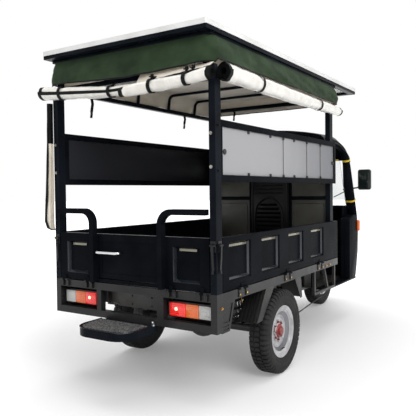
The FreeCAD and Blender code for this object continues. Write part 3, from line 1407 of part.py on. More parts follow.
FENDER_HALF = 75.0
FENDER_SHEET = 6.0
FENDER_REACH = 500.0
FENDER_RISE = (20.0, 60.0)
STRUT_RADIUS = 15.0


def front_mudguard(stem):
    """Curved guard close over the front tyre, with the strut that holds it."""
    hub = Vector(FRONT_AXLE_X, 0, TYRE_RADIUS)
    start = Vector(FRONT_AXLE_X, -FENDER_HALF, TYRE_RADIUS)
    across = Vector(0, 1, 0)
    outer = Part.makeCylinder(FRONT_MUDGUARD_RADIUS, 2 * FENDER_HALF, start, across)
    inner = Part.makeCylinder(FRONT_MUDGUARD_RADIUS - FENDER_SHEET, 2 * FENDER_HALF, start, across)
    front_x = FRONT_AXLE_X + FENDER_REACH
    rear_x = FRONT_AXLE_X - FENDER_REACH
    top = TYRE_RADIUS + FENDER_REACH
    keep = prism_xz([(FRONT_AXLE_X, TYRE_RADIUS), (front_x, TYRE_RADIUS + FENDER_RISE[0]),
                     (front_x, top), (rear_x, top), (rear_x, TYRE_RADIUS + FENDER_RISE[1])],
                    -FENDER_HALF - 1, FENDER_HALF + 1)
    crown = steer_point(CROWN_Z)
    towards = (hub - crown).normalize()
    strut = rod(crown, hub - towards * (FRONT_MUDGUARD_RADIUS - FENDER_SHEET / 2), STRUT_RADIUS)
    return fuse([outer.cut(inner).common(keep), strut]).cut(stem)


# Wheels

SIDEWALL = ((RIM_RADIUS - 6, 46.0), (222.0, 62.5), (254.0, 59.4), (TYRE_RADIUS, 46.2))
GROOVE_SPAN = (26.0, 70.0)


def tyre():
    """Tyre on the origin, its tread a ring of flats with a lug at each shoulder."""
    profile = list(SIDEWALL) + [(radius, -y) for radius, y in reversed(SIDEWALL)]
    pitch = 2 * math.pi / TYRE_FACETS
    faces = []
    for index in range(TYRE_FACETS):
        for start, end in zip(profile, profile[1:] + profile[:1]):
            corners = []
            for (radius, y), turn in ((start, index), (end, index), (end, index + 1),
                                      (start, index + 1)):
                corners.append(Vector(radius * math.sin(turn * pitch), y,
                                      radius * math.cos(turn * pitch)))
            faces.append(face_of(corners))
    ring = Part.Solid(Part.Shell(faces))
    if ring.Volume < 0:
        ring.reverse()
    grooves = []
    for index in range(TYRE_FACETS):
        for edge in (-1, 1):
            y0, y1 = sorted(edge * y for y in GROOVE_SPAN)
            groove = box(-GROOVE_HALF, GROOVE_HALF, y0, y1, TYRE_RADIUS - LUG_DEPTH,
                         TYRE_RADIUS + LUG_DEPTH)
            shift = 360.0 * (index + 0.5) / TYRE_FACETS + edge * GROOVE_STAGGER
            groove.rotate(Vector(0, 0, 0), Vector(0, 1, 0), shift)
            grooves.append(groove)
    return ring.cut(Part.makeCompound(grooves))


RIM_HALF = 53.0
DISC_FACE = ((146.0, 43.0), (129.0, 37.0), (121.0, 30.0), (106.0, 19.0), (88.0, 15.0),
             (53.0, 14.0))
HUB_FACE = ((50.0, 22.0), (42.0, 28.0))
DISC_BACK = ((52.0, 4.0), (86.0, 7.0), (104.0, 11.0), (116.0, 20.0), (126.0, 24.0))
WELL = ((160.5, 46.0), (152.0, 41.0), (132.0, 25.0))
HUB_END = 30.0
HUB_BACK = 40.0
BLIND_END = 3.0
STUDS = 8
STUD_CIRCLE = 68.0
STUD_RADIUS = 6.5
STUD_SPAN = (10.0, 26.0)


def wheel_disc(side, bore, blind):
    """Steel wheel with a deep well, a dished disc and its hub; the disc faces a side."""
    lip = [(RIM_RADIUS, RIM_HALF - 3), (RIM_RADIUS, RIM_HALF), (158, RIM_HALF - 2)]
    barrel = [(126, -25), (146, -HUB_BACK), (156, 3 - RIM_HALF), (RIM_RADIUS, -RIM_HALF),
              (RIM_RADIUS, 3 - RIM_HALF)]
    well = [(radius, -y) for radius, y in WELL] + list(reversed(WELL))
    hub = [(bore, HUB_END), (bore, -HUB_BACK)]
    if blind:
        hub = [(0, HUB_END), (0, -BLIND_END), (bore, -BLIND_END), (bore, -HUB_BACK)]
    outline = lip + list(DISC_FACE) + list(HUB_FACE) + hub
    outline += [(DISC_BACK[0][0], -HUB_BACK)] + list(DISC_BACK) + barrel + well
    wheel = turned([(radius, side * y) for radius, y in outline], 0, 0, 0)
    studs = []
    for index in range(STUDS):
        angle = 2 * math.pi * index / STUDS
        x = STUD_CIRCLE * math.cos(angle)
        z = STUD_CIRCLE * math.sin(angle)
        studs.append(rod(Vector(x, side * STUD_SPAN[0], z), Vector(x, side * STUD_SPAN[1], z),
                         STUD_RADIUS))
    return fuse([wheel] + studs)


def wheel_pair(name, rubber, x, y, bore, blind):
    """Save a tyre and its rim at a wheel's place."""
    place = Vector(x, y, TYRE_RADIUS)
    rubber = rubber.copy()
    rubber.translate(place)
    save("tyre_" + name, rubber)
    disc = wheel_disc(-1 if y < 0 else 1, bore, blind)
    disc.translate(place)
    save("rim_" + name, disc)


def main():
    """Build every sub-part."""
    os.makedirs("parts", exist_ok=True)
    chassis = chassis_frame()
    frame = cab_frame()
    lamps = front_lamps()
    stem = fork()
    rubber = tyre()
    save("chassis_frame", chassis)
    save("leaf_springs", both_sides(leaf_spring()))
    save("rear_axle", rear_axle())
    save("drive_motor", drive_motor())
    save("battery_box", battery_box())
    save("bed_floor", bed_floor())
    save("bed_rails", fuse([bed_rails()] + side_hinge_posts()
                           + [mirrored(leaf_post) for leaf_post in side_hinge_posts()]))
    save("lamp_frame", lamp_frame())
    save("tail_lamps", tail_lamps())
    save("rear_step", rear_step())
    save("rear_mudguards", both_sides(rear_mudguard()))
    save("side_guards", both_sides(side_guard()))
    save("gate_latches", gate_latches())
    save("canopy_posts", canopy_posts())
    save("canopy_frame", canopy_frame())
    save("roof_panel", roof_panel())
    save("roof_edge", roof_edge())
    save("valance", valance())
    save("curtain_rolls", curtain_rolls())
    save("curtain_gathered", curtain_gathered())
    save("side_panels", both_sides(side_panel()))
    save("bulkhead", bulkhead())
    save("bulkhead_moulding", bulkhead_moulding())
    save("cab_frame", frame)
    save("cab_roof", cab_roof(frame))
    save("windscreen", windscreen(frame))
    save("front_fairing", front_fairing(frame, chassis, lamps))
    save("cab_floor", cab_floor(chassis))
    save("driver_seat", driver_seat())
    save("front_lamps", lamps)
    save("mirrors", both_sides(mirror(frame)))
    save("tailgate", tailgate_panel())
    fixed_knuckles = [piece for z in DOOR_HINGES for piece in door_hinge(z, True)]
    save("grab_rails", [grab_rail(), fuse([mirrored(grab_rail())] + fixed_knuckles)])
    save("rear_door", rear_door())
    save("door_handle", door_handle())
    save("side_gate_left", side_gate())
    save("side_gate_right", mirrored(side_gate()))
    save("fork", stem)
    save("handlebar", handlebar(stem))
    save("front_mudguard", front_mudguard(stem))
    rear_bore = STUB_RADIUS + RUNNING_CLEARANCE
    front_bore = FRONT_AXLE_RADIUS + RUNNING_CLEARANCE
    wheel_pair("rear_left", rubber, REAR_AXLE_X, HALF_TRACK, rear_bore, True)
    wheel_pair("rear_right", rubber, REAR_AXLE_X, -HALF_TRACK, rear_bore, True)
    wheel_pair("front", rubber, FRONT_AXLE_X, 0, front_bore, False)


main()
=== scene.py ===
"""Looks of a three-wheeled cargo auto rickshaw with a drop-side bed and a canopy."""
import logging
from dataclasses import dataclass
from enum import Enum
from math import copysign, cos, exp, pi, radians, sin, tau
from typing import Callable, Iterable, Optional, Sequence

import bmesh
import bpy
from mathutils import Matrix, Vector, noise


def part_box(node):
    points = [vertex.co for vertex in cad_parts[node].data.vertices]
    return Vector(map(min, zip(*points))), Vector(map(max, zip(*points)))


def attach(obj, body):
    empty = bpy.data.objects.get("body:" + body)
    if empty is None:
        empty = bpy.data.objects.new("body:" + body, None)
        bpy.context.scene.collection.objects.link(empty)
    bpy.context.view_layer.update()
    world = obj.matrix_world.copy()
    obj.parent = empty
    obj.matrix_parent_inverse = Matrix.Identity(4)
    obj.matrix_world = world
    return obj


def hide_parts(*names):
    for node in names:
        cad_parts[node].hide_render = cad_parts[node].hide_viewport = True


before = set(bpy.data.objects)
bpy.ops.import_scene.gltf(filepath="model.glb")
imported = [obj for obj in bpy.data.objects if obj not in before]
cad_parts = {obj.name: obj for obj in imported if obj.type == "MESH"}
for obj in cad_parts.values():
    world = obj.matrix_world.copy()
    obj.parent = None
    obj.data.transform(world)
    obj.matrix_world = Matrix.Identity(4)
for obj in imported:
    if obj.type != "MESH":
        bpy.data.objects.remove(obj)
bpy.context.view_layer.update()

LOG = logging.getLogger("rickshaw")
MM = 0.001
MIDDLE_X = 1521.5  # from the bed's rear face forward to the frame's origin, in mm
SIDES = (-1, 1)  # right and left of the vehicle
SHARP = 35.0  # angle beyond which an edge shows, in degrees
SOFT_SHARP = 70.0  # the same on cloth
ALONG, ACROSS, UP = Vector((1, 0, 0)), Vector((0, 1, 0)), Vector((0, 0, 1))
STILL = Matrix.Identity(3)

Tree = bpy.types.NodeTree
Socket = bpy.types.NodeSocket
Place = tuple[float, float, float]
Rows = Sequence[Sequence[Vector]]
Outline = Sequence[tuple[float, float]]


def at(x: float, y: float, z: float) -> Vector:
    """Point from millimetres forward of the bed's rear face, left of its middle, and up."""
    return Vector(((x - MIDDLE_X) * MM, y * MM, z * MM))


def points(*places: Place) -> list[Vector]:
    """Points in the frame from several places in vehicle millimetres."""
    return [at(*place) for place in places]


def upright_loop(x: float, y0: float, y1: float, z0: float, z1: float) -> list[Vector]:
    """Closed rectangle that stands across the vehicle."""
    return points((x, y0, z0), (x, y1, z0), (x, y1, z1), (x, y0, z1), (x, y0, z0))


def turns(count: int) -> list[float]:
    """Angles spaced evenly round a circle, in radians."""
    return [tau * k / count for k in range(count)]


def ripple(x: float, y: float, seed: float = 0.0) -> float:
    """Smooth noise from -1 to 1, the same on every run."""
    return noise.noise(Vector((x, y, seed)))


def linear(hex_colour: str) -> tuple[float, float, float, float]:
    """Turn an sRGB hex colour to linear light.

    Args:
        hex_colour: Six hex digits.

    Returns:
        Linear red, green and blue, and an alpha of 1.
    """
    channels = [int(hex_colour[i:i + 2], 16) / 255 for i in (0, 2, 4)]
    out = [c / 12.92 if c <= 0.04045 else ((c + 0.055) / 1.055) ** 2.4 for c in channels]
    return out[0], out[1], out[2], 1.0


class Body(Enum):
    """Bodies of the frame that pieces ride on."""

    CHASSIS = "chassis"
    FRONT_WHEEL = "front_wheel"
    REAR_WHEEL_LEFT = "rear_wheel_left"
    REAR_WHEEL_RIGHT = "rear_wheel_right"
    TAILGATE = "tailgate_body"
    LEFT_GATE = "left_gate"
    RIGHT_GATE = "right_gate"


# Materials


def feed(tree: Tree, node: bpy.types.Node, links: dict) -> None:
    """Link sockets to a node's inputs and set plain values on them.

    Args:
        tree: Tree that holds the node.
        node: Node that is fed.
        links: Input name or index to an output socket or a plain value.
    """
    for key, source in links.items():
        if isinstance(source, Socket):
            tree.links.new(source, node.inputs[key])
        else:
            node.inputs[key].default_value = source


def add_node(tree: Tree, kind: str, links: Optional[dict] = None,
             **settings: object) -> bpy.types.Node:
    """Add a node with its settings and links.

    Args:
        tree: Tree that takes the node.
        kind: Node type name.
        links: Input name or index to an output socket or a plain value.
        settings: Attributes of the node.

    Returns:
        The new node.
    """
    node = tree.nodes.new(kind)
    for name, value in settings.items():
        setattr(node, name, value)
    feed(tree, node, links or {})
    return node


def output(tree: Tree, kind: str, name: str | int, links: Optional[dict] = None,
           **settings: object) -> Socket:
    """Add a node as add_node does and return its output of that name or index."""
    return add_node(tree, kind, links, **settings).outputs[name]


def ramp(tree: Tree, source: Socket, stops: Sequence[tuple[float, str]]) -> Socket:
    """Colour ramp between two hex colours.

    Args:
        tree: Material tree.
        source: Value that drives the ramp.
        stops: Positions and hex colours.

    Returns:
        The ramp's colour output.
    """
    node = add_node(tree, "ShaderNodeValToRGB", {0: source})
    for element, (place, colour) in zip(node.color_ramp.elements, stops):
        element.position = place
        element.color = linear(colour)
    return node.outputs["Color"]


@dataclass(frozen=True)
class Finish:
    """A surface finish: colours, gloss and the bump of how it was made.

    Attributes:
        name: Material name.
        dark: Darker colour of its slow variation.
        light: Lighter colour of its slow variation.
        roughness: Typical roughness.
        spread: How far smears and wear change the roughness.
        grain_mm: Size of the surface grain.
        grain_height: Depth of the grain as bump strength.
        cloud_mm: Size of the slow colour variation.
        metallic: 1 for bare metal.
        coat: Clear coat weight.
        ior: Index of refraction, left alone for metal.
        sheen: Sheen weight of cloth.
        transmission: Share of light let through.
        emission: Hex colour of its own light.
        emission_strength: Strength of its own light.
        specular: Specular level.
    """

    name: str
    dark: str
    light: str
    roughness: float
    spread: float
    grain_mm: float
    grain_height: float
    cloud_mm: float = 260.0
    metallic: float = 0.0
    coat: float = 0.0
    ior: float = 1.5
    sheen: float = 0.0
    transmission: float = 0.0
    emission: str = ""
    emission_strength: float = 0.0
    specular: float = 0.5

    def speckle(self, tree: Tree, point: Socket, size_mm: float, detail: float) -> Socket:
        """Noise from 0 to 1 over the object coordinates, its features of a real size."""
        return output(tree, "ShaderNodeTexNoise", "Fac",
                      {"Vector": point, "Scale": 1 / MM / size_mm, "Detail": detail})

    def pattern(self, tree: Tree, point: Socket) -> tuple[Socket, Socket]:
        """Colour and height of the finish; other finishes override this.

        Args:
            tree: Material tree.
            point: Object coordinates.

        Returns:
            A colour socket and a height socket.
        """
        clouds = self.speckle(tree, point, self.cloud_mm, 4.0)
        colour = ramp(tree, clouds, [(0.35, self.dark), (0.68, self.light)])
        return colour, self.speckle(tree, point, self.grain_mm, 3.0)

    def build(self) -> bpy.types.Material:
        """Make the material once.

        Returns:
            The material.
        """
        if self.name in bpy.data.materials:
            return bpy.data.materials[self.name]
        material = bpy.data.materials.new(self.name)
        material.use_nodes = True
        tree = material.node_tree
        point = output(tree, "ShaderNodeTexCoord", "Object")
        colour, height = self.pattern(tree, point)
        smears = output(tree, "ShaderNodeTexNoise", "Fac",
                        {"Vector": point, "Scale": 9.0, "Detail": 6.0, "Roughness": 0.65})
        rough = output(tree, "ShaderNodeMapRange", "Result",
                       {"Value": smears, "From Min": 0.3, "From Max": 0.72,
                        "To Min": max(0.0, self.roughness - self.spread),
                        "To Max": self.roughness + self.spread})
        bump = output(tree, "ShaderNodeBump", "Normal",
                      {"Height": height, "Strength": self.grain_height, "Distance": MM})
        look = {"Base Color": colour, "Roughness": rough, "Normal": bump,
                "Metallic": self.metallic, "Coat Weight": self.coat, "Coat Roughness": 0.05,
                "Sheen Weight": self.sheen, "Transmission Weight": self.transmission,
                "Specular IOR Level": self.specular}
        if not self.metallic:
            look["IOR"] = self.ior
        if self.emission:
            look["Emission Color"] = linear(self.emission)
            look["Emission Strength"] = self.emission_strength
        feed(tree, tree.nodes["Principled BSDF"], look)
        return material


@dataclass(frozen=True)
class WovenFinish(Finish):
    """Woven cloth: crossing threads at a real spacing.

    Attributes:
        thread_mm: Spacing of the threads, drawn as coarse as it needs to show.
    """

    thread_mm: float = 1.6

    def pattern(self, tree: Tree, point: Socket) -> tuple[Socket, Socket]:
        """Slow shading of worn cloth over two crossing sets of threads."""
        clouds = self.speckle(tree, point, self.cloud_mm, 5.0)
        colour = ramp(tree, clouds, [(0.3, self.dark), (0.7, self.light)])
        warp, weft = (output(tree, "ShaderNodeTexWave", "Fac",
                             {"Vector": point, "Scale": 314 / self.thread_mm,
                              "Distortion": 0.6, "Detail": 1.0}, bands_direction=axis)
                      for axis in ("X", "Z"))
        return colour, output(tree, "ShaderNodeMath", "Value", {0: warp, 1: weft},
                              operation="MULTIPLY")


@dataclass(frozen=True)
class ShadedLengthwiseFinish(Finish):
    """Sheet painted darker towards the front of the vehicle, as painted shade.

    Attributes:
        lit_x: Distance from the frame's middle, in metres, where it is lightest.
        shaded_x: Distance where its painted shade is darkest.
    """

    lit_x: float = -0.75
    shaded_x: float = 0.2

    def pattern(self, tree: Tree, point: Socket) -> tuple[Socket, Socket]:
        """Lighter colour that turns darker along X as painted shade, with faint clouds in it."""
        clouds = self.speckle(tree, point, self.cloud_mm, 4.0)
        # Painted shade: the colour darkens along X towards the front.
        x = output(tree, "ShaderNodeSeparateXYZ", "X", {0: point})
        along = output(tree, "ShaderNodeMapRange", "Result",
                       {"Value": x, "From Min": self.shaded_x, "From Max": self.lit_x})
        mixed = output(tree, "ShaderNodeMath", "Value", {0: clouds, 1: 0.12, 2: along},
                       operation="MULTIPLY_ADD")
        colour = ramp(tree, mixed, [(0.06, self.dark), (1.0, self.light)])
        return colour, self.speckle(tree, point, self.grain_mm, 3.0)


@dataclass(frozen=True)
class FleckedFinish(Finish):
    """Rubber with pale granules moulded into it."""

    def pattern(self, tree: Tree, point: Socket) -> tuple[Socket, Socket]:
        """Pale cells scattered over the darker ground."""
        cells = add_node(tree, "ShaderNodeTexVoronoi",
                         {"Vector": point, "Scale": 1 / MM / self.grain_mm, "Randomness": 1.0})
        pick = output(tree, "ShaderNodeSeparateXYZ", "X", {0: cells.outputs["Color"]})
        colour = ramp(tree, pick, [(0.35, self.dark), (0.75, self.light)])
        return colour, cells.outputs["Distance"]


class Finishes:
    """Every finish on the vehicle, named for the real surface."""

    # Polyester powder coat on steel, blue-black with a slight orange peel
    POWDER_COAT = Finish(
        "Powder_coat_black", "0a0c10", "15171c", 0.3, 0.07, 3.0, 0.06, specular=0.01)
    # The same coat on posts and canopy, rubbed paler by hands and curtains
    POST_COAT = Finish(
        "Powder_coat_rubbed", "0c0f15", "161b22", 0.3, 0.07, 3.0, 0.06, specular=0.03)
    # The same coat on the rails and lower frame, greyer: road dust, and a paler base colour painted
    # in for the pale floor's reflection
    RAIL_COAT = Finish("Powder_coat_dusty_and_reflection", "18191b", "2b2b2b", 0.34, 0.1, 3.0, 0.05, specular=0.2)
    # Chassis enamel brushed on thin: satin black with dust
    CHASSIS_ENAMEL = Finish("Chassis_enamel_satin", "131313", "221f1c", 0.5, 0.12, 4.0, 0.15)
    # Galvanised steel roof sheet painted white: pale and even, a little chalky
    ROOF_SHEET = Finish("Painted_steel_white", "dcdcda", "efefee", 0.45, 0.06, 3.0, 0.04)
    # Acrylic coated canvas, woven and dyed bottle green
    CANVAS = WovenFinish(
        "Canvas_green", "1f2d1d", "33452f", 0.78, 0.08, 2.0, 0.3, cloud_mm=150.0, sheen=0.04,
        specular=0.12)
    # Polyester liner cloth, beige
    LINER = WovenFinish(
        "Liner_cloth_beige", "d8cebc", "efe7d8", 0.8, 0.06, 2.0, 0.2, cloud_mm=300.0, sheen=0.2)
    # Clear flexible vinyl rolled up: pale and milky through its many layers
    VINYL = Finish(
        "Flexible_vinyl_clear", "e9e6de", "fdfaf4", 0.24, 0.1, 26.0, 0.3, cloud_mm=70.0, coat=0.35,
        transmission=0.02)
    # Vinyl binding tape sewn on edges, black and matt
    BINDING = Finish("Binding_tape_black", "08090a", "121314", 0.55, 0.08, 1.2, 0.2, specular=0.12)
    # Injection moulded polypropylene on the bulkhead, darker than the other black moulding: painted
    # shade deep in the bed
    MOULDED_SHADED = Finish(
        "Moulded_plastic_painted_shade", "040506", "0b0d10", 0.38, 0.08, 1.6, 0.12, specular=0.18)
    # Injection moulded polypropylene, black, with a fine texture
    MOULDED = Finish("Moulded_plastic_black", "0e0f10", "17181a", 0.45, 0.08, 1.2, 0.12)
    # Glass filled plastic of the mirror backs: dark green grey, satin
    MIRROR_BACK = Finish("Moulded_plastic_green_grey", "1c2422", "27302d", 0.35, 0.05, 1.5, 0.05)
    # Silvered glass of the mirrors behind a tinted face
    MIRROR_GLASS = Finish(
        "Mirror_glass_tinted", "161d1c", "232c2a", 0.12, 0.03, 60.0, 0.0, specular=0.35)
    # Moulded rubber tread plate of the step, flecked with grey granules
    STEP_RUBBER = FleckedFinish(
        "Step_rubber_flecked", "303030", "7d7d7c", 0.7, 0.08, 5.0, 0.3, specular=0.25)
    # Natural rubber tread compound, dull black with road dust in it
    RUBBER = Finish(
        "Tyre_rubber", "101011", "1f1f1e", 0.75, 0.1, 2.5, 0.35, cloud_mm=70.0, specular=0.35)
    # Steel wheel painted aluminium silver
    WHEEL_SILVER = Finish(
        "Wheel_paint_silver", "9c9b9d", "c3c3c6", 0.34, 0.1, 1.5, 0.06, cloud_mm=60.0, metallic=0.3,
        coat=0.25)
    # Hub painted red enamel under road dust
    HUB_RED = Finish(
        "Hub_enamel_red", "5d1b18", "9a2a25", 0.42, 0.1, 3.0, 0.1, cloud_mm=30.0, coat=0.15)
    # Zinc plated steel fasteners: bright grey, slightly yellow
    ZINC = Finish("Zinc_plated_steel", "8f8c84", "b5b1a6", 0.32, 0.1, 1.0, 0.08, metallic=1.0)
    # Yellow passivated bolts: brassy with a rainbow cast
    PASSIVATED = Finish(
        "Passivated_steel_yellow", "a87f3c", "d9b266", 0.3, 0.1, 1.0, 0.08, metallic=1.0)
    # Chrome plated tube, mirror bright
    CHROME = Finish("Chrome_plate", "c9cacc", "dddee0", 0.08, 0.04, 6.0, 0.02, metallic=1.0)
    # Sand cast aluminium, dull with a coarse skin
    CAST = Finish("Cast_aluminium", "3a3a3c", "58585b", 0.5, 0.1, 1.5, 0.4, metallic=1.0)
    # Galvanised sheet of the upper side panels, grey and almost flat, with painted shade darker
    # towards the front
    PANEL_GREY = ShadedLengthwiseFinish(
        "Panel_sheet_grey", "7c7d81", "a6a6a9", 0.5, 0.06, 4.0, 0.05, specular=0.3)
    # Painted plywood and sheet of the bulkhead, olive grey
    BULKHEAD = Finish("Bulkhead_sheet_olive", "2d2c26", "3c3b34", 0.55, 0.08, 3.0, 0.1)
    # Leathercloth of the seat: vinyl on knit with a leather grain
    LEATHERCLOTH = Finish("Leathercloth_black", "101011", "1a1a1b", 0.5, 0.08, 3.5, 0.45)
    # Laminated glass with a faint green edge
    GLASS = Finish(
        "Laminated_glass", "f4f9f8", "ffffff", 0.01, 0.01, 90.0, 0.0, ior=1.52, transmission=0.98)
    # Acrylic lenses, red, amber and clear
    LENS_RED = Finish(
        "Acrylic_lens_red", "c2140f", "e0261a", 0.12, 0.04, 5.0, 0.2, coat=0.8, emission="ff1b10",
        emission_strength=0.35)
    LENS_AMBER = Finish(
        "Acrylic_lens_amber", "d45a1c", "ee8238", 0.14, 0.04, 5.0, 0.2, coat=0.6, emission="ff7a2a",
        emission_strength=0.12)
    LENS_CLEAR = Finish(
        "Acrylic_lens_clear", "c9c9c6", "e8e8e6", 0.1, 0.04, 5.0, 0.2, coat=0.8, transmission=0.25)
    # Glow of the filament bulb behind the red lens
    BULB = Finish(
        "Bulb_alight", "ffd9b8", "fff0dc", 0.2, 0.02, 5.0, 0.0, emission="ffc9a0",
        emission_strength=1.6)
    # The same powder coat, paler and glossier, laid where glints show: painted highlight
    GLINT_COAT = Finish(
        "Powder_coat_painted_glint", "14171d", "262a31", 0.16, 0.05, 4.0, 0.03, specular=0.45)
    # Painted sheet of the left upper panel, dark grey, with painted shade darker towards the front
    PANEL_DARK = ShadedLengthwiseFinish(
        "Panel_sheet_dark", "0c0d10", "2d2e33", 0.5, 0.06, 4.0, 0.05, specular=0.05)
    # Painted roof sheet, pale grey with washed-down dust
    ROOF_TOP = Finish(
        "Painted_sheet_pale_grey", "a6a8a8", "bcbebd", 0.5, 0.08, 5.0, 0.05, cloud_mm=420.0,
        specular=0.2)
    # The rim's paint darker on the slope of its well: painted shade
    WHEEL_WELL_SHADE = Finish("Wheel_paint_painted_shade", "626366", "919297", 0.45, 0.1, 4.0, 0.1, metallic=0.2)
    # Retroreflective tape, cream white
    TAPE = Finish("Reflective_tape", "77725f", "9a9480", 0.35, 0.05, 2.0, 0.2, coat=0.5)
    # Yellow vinyl cable clips on the pillars
    YELLOW = Finish("Vinyl_yellow", "c9a51d", "e8c72c", 0.4, 0.05, 2.0, 0.05)


NODES_OF_FINISH = (
    (Finishes.CHASSIS_ENAMEL,
     "chassis_frame leaf_springs rear_axle rear_mudguards side_guards cab_floor fork"),
    (Finishes.CAST, "drive_motor"),
    (Finishes.MOULDED, "battery_box front_lamps handlebar"),
    (Finishes.POWDER_COAT, "bed_floor side_panels cab_frame cab_roof front_fairing tailgate "
     "grab_rails rear_door side_gate_left side_gate_right front_mudguard"),
    (Finishes.RAIL_COAT, "bed_rails lamp_frame gate_latches"),
    (Finishes.LENS_RED, "tail_lamps"),
    (Finishes.POST_COAT, "rear_step canopy_posts canopy_frame roof_edge"),
    (Finishes.ROOF_SHEET, "roof_panel"),
    (Finishes.CANVAS, "valance"),
    (Finishes.VINYL, "curtain_rolls"),
    (Finishes.LINER, "curtain_gathered"),
    (Finishes.BULKHEAD, "bulkhead"),
    (Finishes.MOULDED_SHADED, "bulkhead_moulding"),
    (Finishes.GLASS, "windscreen"),
    (Finishes.LEATHERCLOTH, "driver_seat"),
    (Finishes.MIRROR_BACK, "mirrors"),
    (Finishes.CHROME, "door_handle"),
    (Finishes.RUBBER, "tyre_rear_left tyre_rear_right tyre_front"),
    (Finishes.WHEEL_SILVER, "rim_rear_left rim_rear_right rim_front"),
)


# Shapes


def tunnel(rows: int, sides: int, looped: bool = False) -> list[list[int]]:
    """Faces between rings of points, with a cap at each end unless the last meets the first.

    Args:
        rows: Number of rings.
        sides: Points in a ring.
        looped: Whether the last ring joins the first.

    Returns:
        Index lists of the faces.
    """
    faces = [[i * sides + k, i * sides + (k + 1) % sides,
              (i + 1) % rows * sides + (k + 1) % sides, (i + 1) % rows * sides + k]
             for i in range(rows if looped else rows - 1) for k in range(sides)]
    if not looped:
        faces += [list(range(sides))[::-1], [(rows - 1) * sides + k for k in range(sides)]]
    return faces


class Shape:
    """Closed surfaces of one piece, gathered in metres before they become a mesh."""

    def __init__(self) -> None:
        """Start with nothing."""
        self.points: list[Vector] = []
        self.faces: list[tuple[list[int], int, bool]] = []

    def add(self, places: Iterable[Vector], faces: Iterable[list[int]],
            smooth: bool = True) -> None:
        """Add points and the faces between them.

        Args:
            places: Points in metres.
            faces: Index lists into those points.
            smooth: Whether the faces shade smoothly.
        """
        start = len(self.points)
        self.points.extend(places)
        self.faces.extend(([start + i for i in face], 0, smooth) for face in faces)

    def take(self, grid: bmesh.types.BMesh, bevel: float, segments: int,
             middle: Vector = Vector(), turn: Matrix = STILL) -> None:
        """Round a solid's edges, add it and free it.

        Args:
            grid: The solid.
            bevel: Rounding in metres.
            segments: Spans across each rounded edge.
            middle: Where its origin goes.
            turn: Turn about that origin.
        """
        bmesh.ops.bevel(grid, geom=grid.edges[:], offset=bevel, segments=segments, profile=0.5,
                        affect="EDGES", clamp_overlap=True)
        grid.verts.index_update()
        self.add([middle + turn @ vert.co for vert in grid.verts],
                 [[vert.index for vert in face.verts] for face in grid.faces])
        grid.free()

    def block(self, corner: Place, opposite: Place, bevel: float = 1.5,
              turn: Matrix = STILL) -> None:
        """Add a block with rounded edges.

        Args:
            corner: One corner in vehicle millimetres.
            opposite: The corner across from it.
            bevel: Rounding in millimetres.
            turn: Turn about the block's middle.
        """
        grid = bmesh.new()
        bmesh.ops.create_cube(grid, size=1.0)
        size = Vector(abs(b - a) for a, b in zip(corner, opposite)) * MM
        for vert in grid.verts:
            vert.co = Vector(c * s for c, s in zip(vert.co, size))
        self.take(grid, min(bevel * MM, 0.45 * min(size)), 2,
                  at(*((a + b) / 2 for a, b in zip(corner, opposite))), turn)

    def tube(self, path: Sequence[Vector], radius: float | Sequence[float], sides: int = 12,
             flat: float = 1.0, wide: Optional[Vector] = None) -> None:
        """Sweep a circle or ellipse along a path and close its ends.

        Args:
            path: Points in metres.
            radius: Radius in millimetres, one for all or one a point.
            sides: Corners round the section.
            flat: Thickness as a share of the width.
            wide: Direction of the section's width; it follows the path if left out.
        """
        count = len(path)
        radii = [radius] * count if isinstance(radius, (int, float)) else radius
        ahead = [(path[min(i + 1, count - 1)] - path[max(i - 1, 0)]).normalized()
                 for i in range(count)]
        side = wide or ahead[0].orthogonal()
        ring: list[Vector] = []
        for place, direction, size in zip(path, ahead, radii):
            side = (side - direction * side.dot(direction)).normalized()
            other = direction.cross(side)
            ring += [place + (side * cos(a) + other * sin(a) * flat) * size * MM
                     for a in turns(sides)]
        self.add(ring, tunnel(count, sides))

    def strap(self, path: Sequence[Vector], wide: Vector, width: float, thick: float,
              looped: bool = False) -> None:
        """Lay a flat strap along a path.

        Args:
            path: Points in metres.
            wide: Direction of the strap's width.
            width: Width in millimetres.
            thick: Thickness in millimetres.
            looped: Whether the last point joins the first.
        """
        count = len(path)
        ring: list[Vector] = []
        for i, place in enumerate(path):
            after = path[(i + 1) % count] if looped else path[min(i + 1, count - 1)]
            before = path[i - 1] if looped or i else path[0]
            ahead = (after - before).normalized()
            side = (wide - ahead * wide.dot(ahead)).normalized() * width * MM / 2
            out = ahead.cross(side).normalized() * thick * MM / 2
            ring += [place - side - out, place + side - out, place + side + out,
                     place - side + out]
        self.add(ring, tunnel(count, 4, looped))

    def turned(self, profile: Outline, centre: Place, axis: Vector, sides: int = 48) -> None:
        """Turn a closed outline about an axis.

        Args:
            profile: Radius and distance along the axis, in millimetres.
            centre: Point on the axis in vehicle millimetres.
            axis: Direction of the axis.
            sides: Steps round it.
        """
        middle = at(*centre)
        axis = axis.normalized()
        side = axis.orthogonal().normalized()
        other = axis.cross(side)
        rows = len(profile)
        skin = [middle + (axis * along + (side * cos(a) + other * sin(a)) * radius) * MM
                for a in turns(sides) for radius, along in profile]
        on_axis = [radius == 0 for radius, _ in profile]
        self.add(skin, [face for i, face in enumerate(tunnel(sides, rows, looped=True))
                        if not (on_axis[i % rows] and on_axis[(i + 1) % rows])])

    def prism(self, outline: Sequence[Vector], depth: Vector) -> None:
        """Push a flat outline through a depth, both in metres."""
        self.add(list(outline) + [p + depth for p in outline], tunnel(2, len(outline)),
                 smooth=False)

    def moulded(self, outline: Outline, y0: float, y1: float, bevel: float) -> None:
        """Push an outline seen from the side across the vehicle and round its edges.

        Args:
            outline: Corners as distance forward and height.
            y0: One side.
            y1: The other side.
            bevel: Rounding in millimetres.
        """
        grid = bmesh.new()
        corners = [grid.verts.new(at(x, y, z)) for y in sorted((y0, y1)) for x, z in outline]
        for face in tunnel(2, len(outline)):
            grid.faces.new([corners[i] for i in face])
        self.take(grid, bevel * MM, 3)

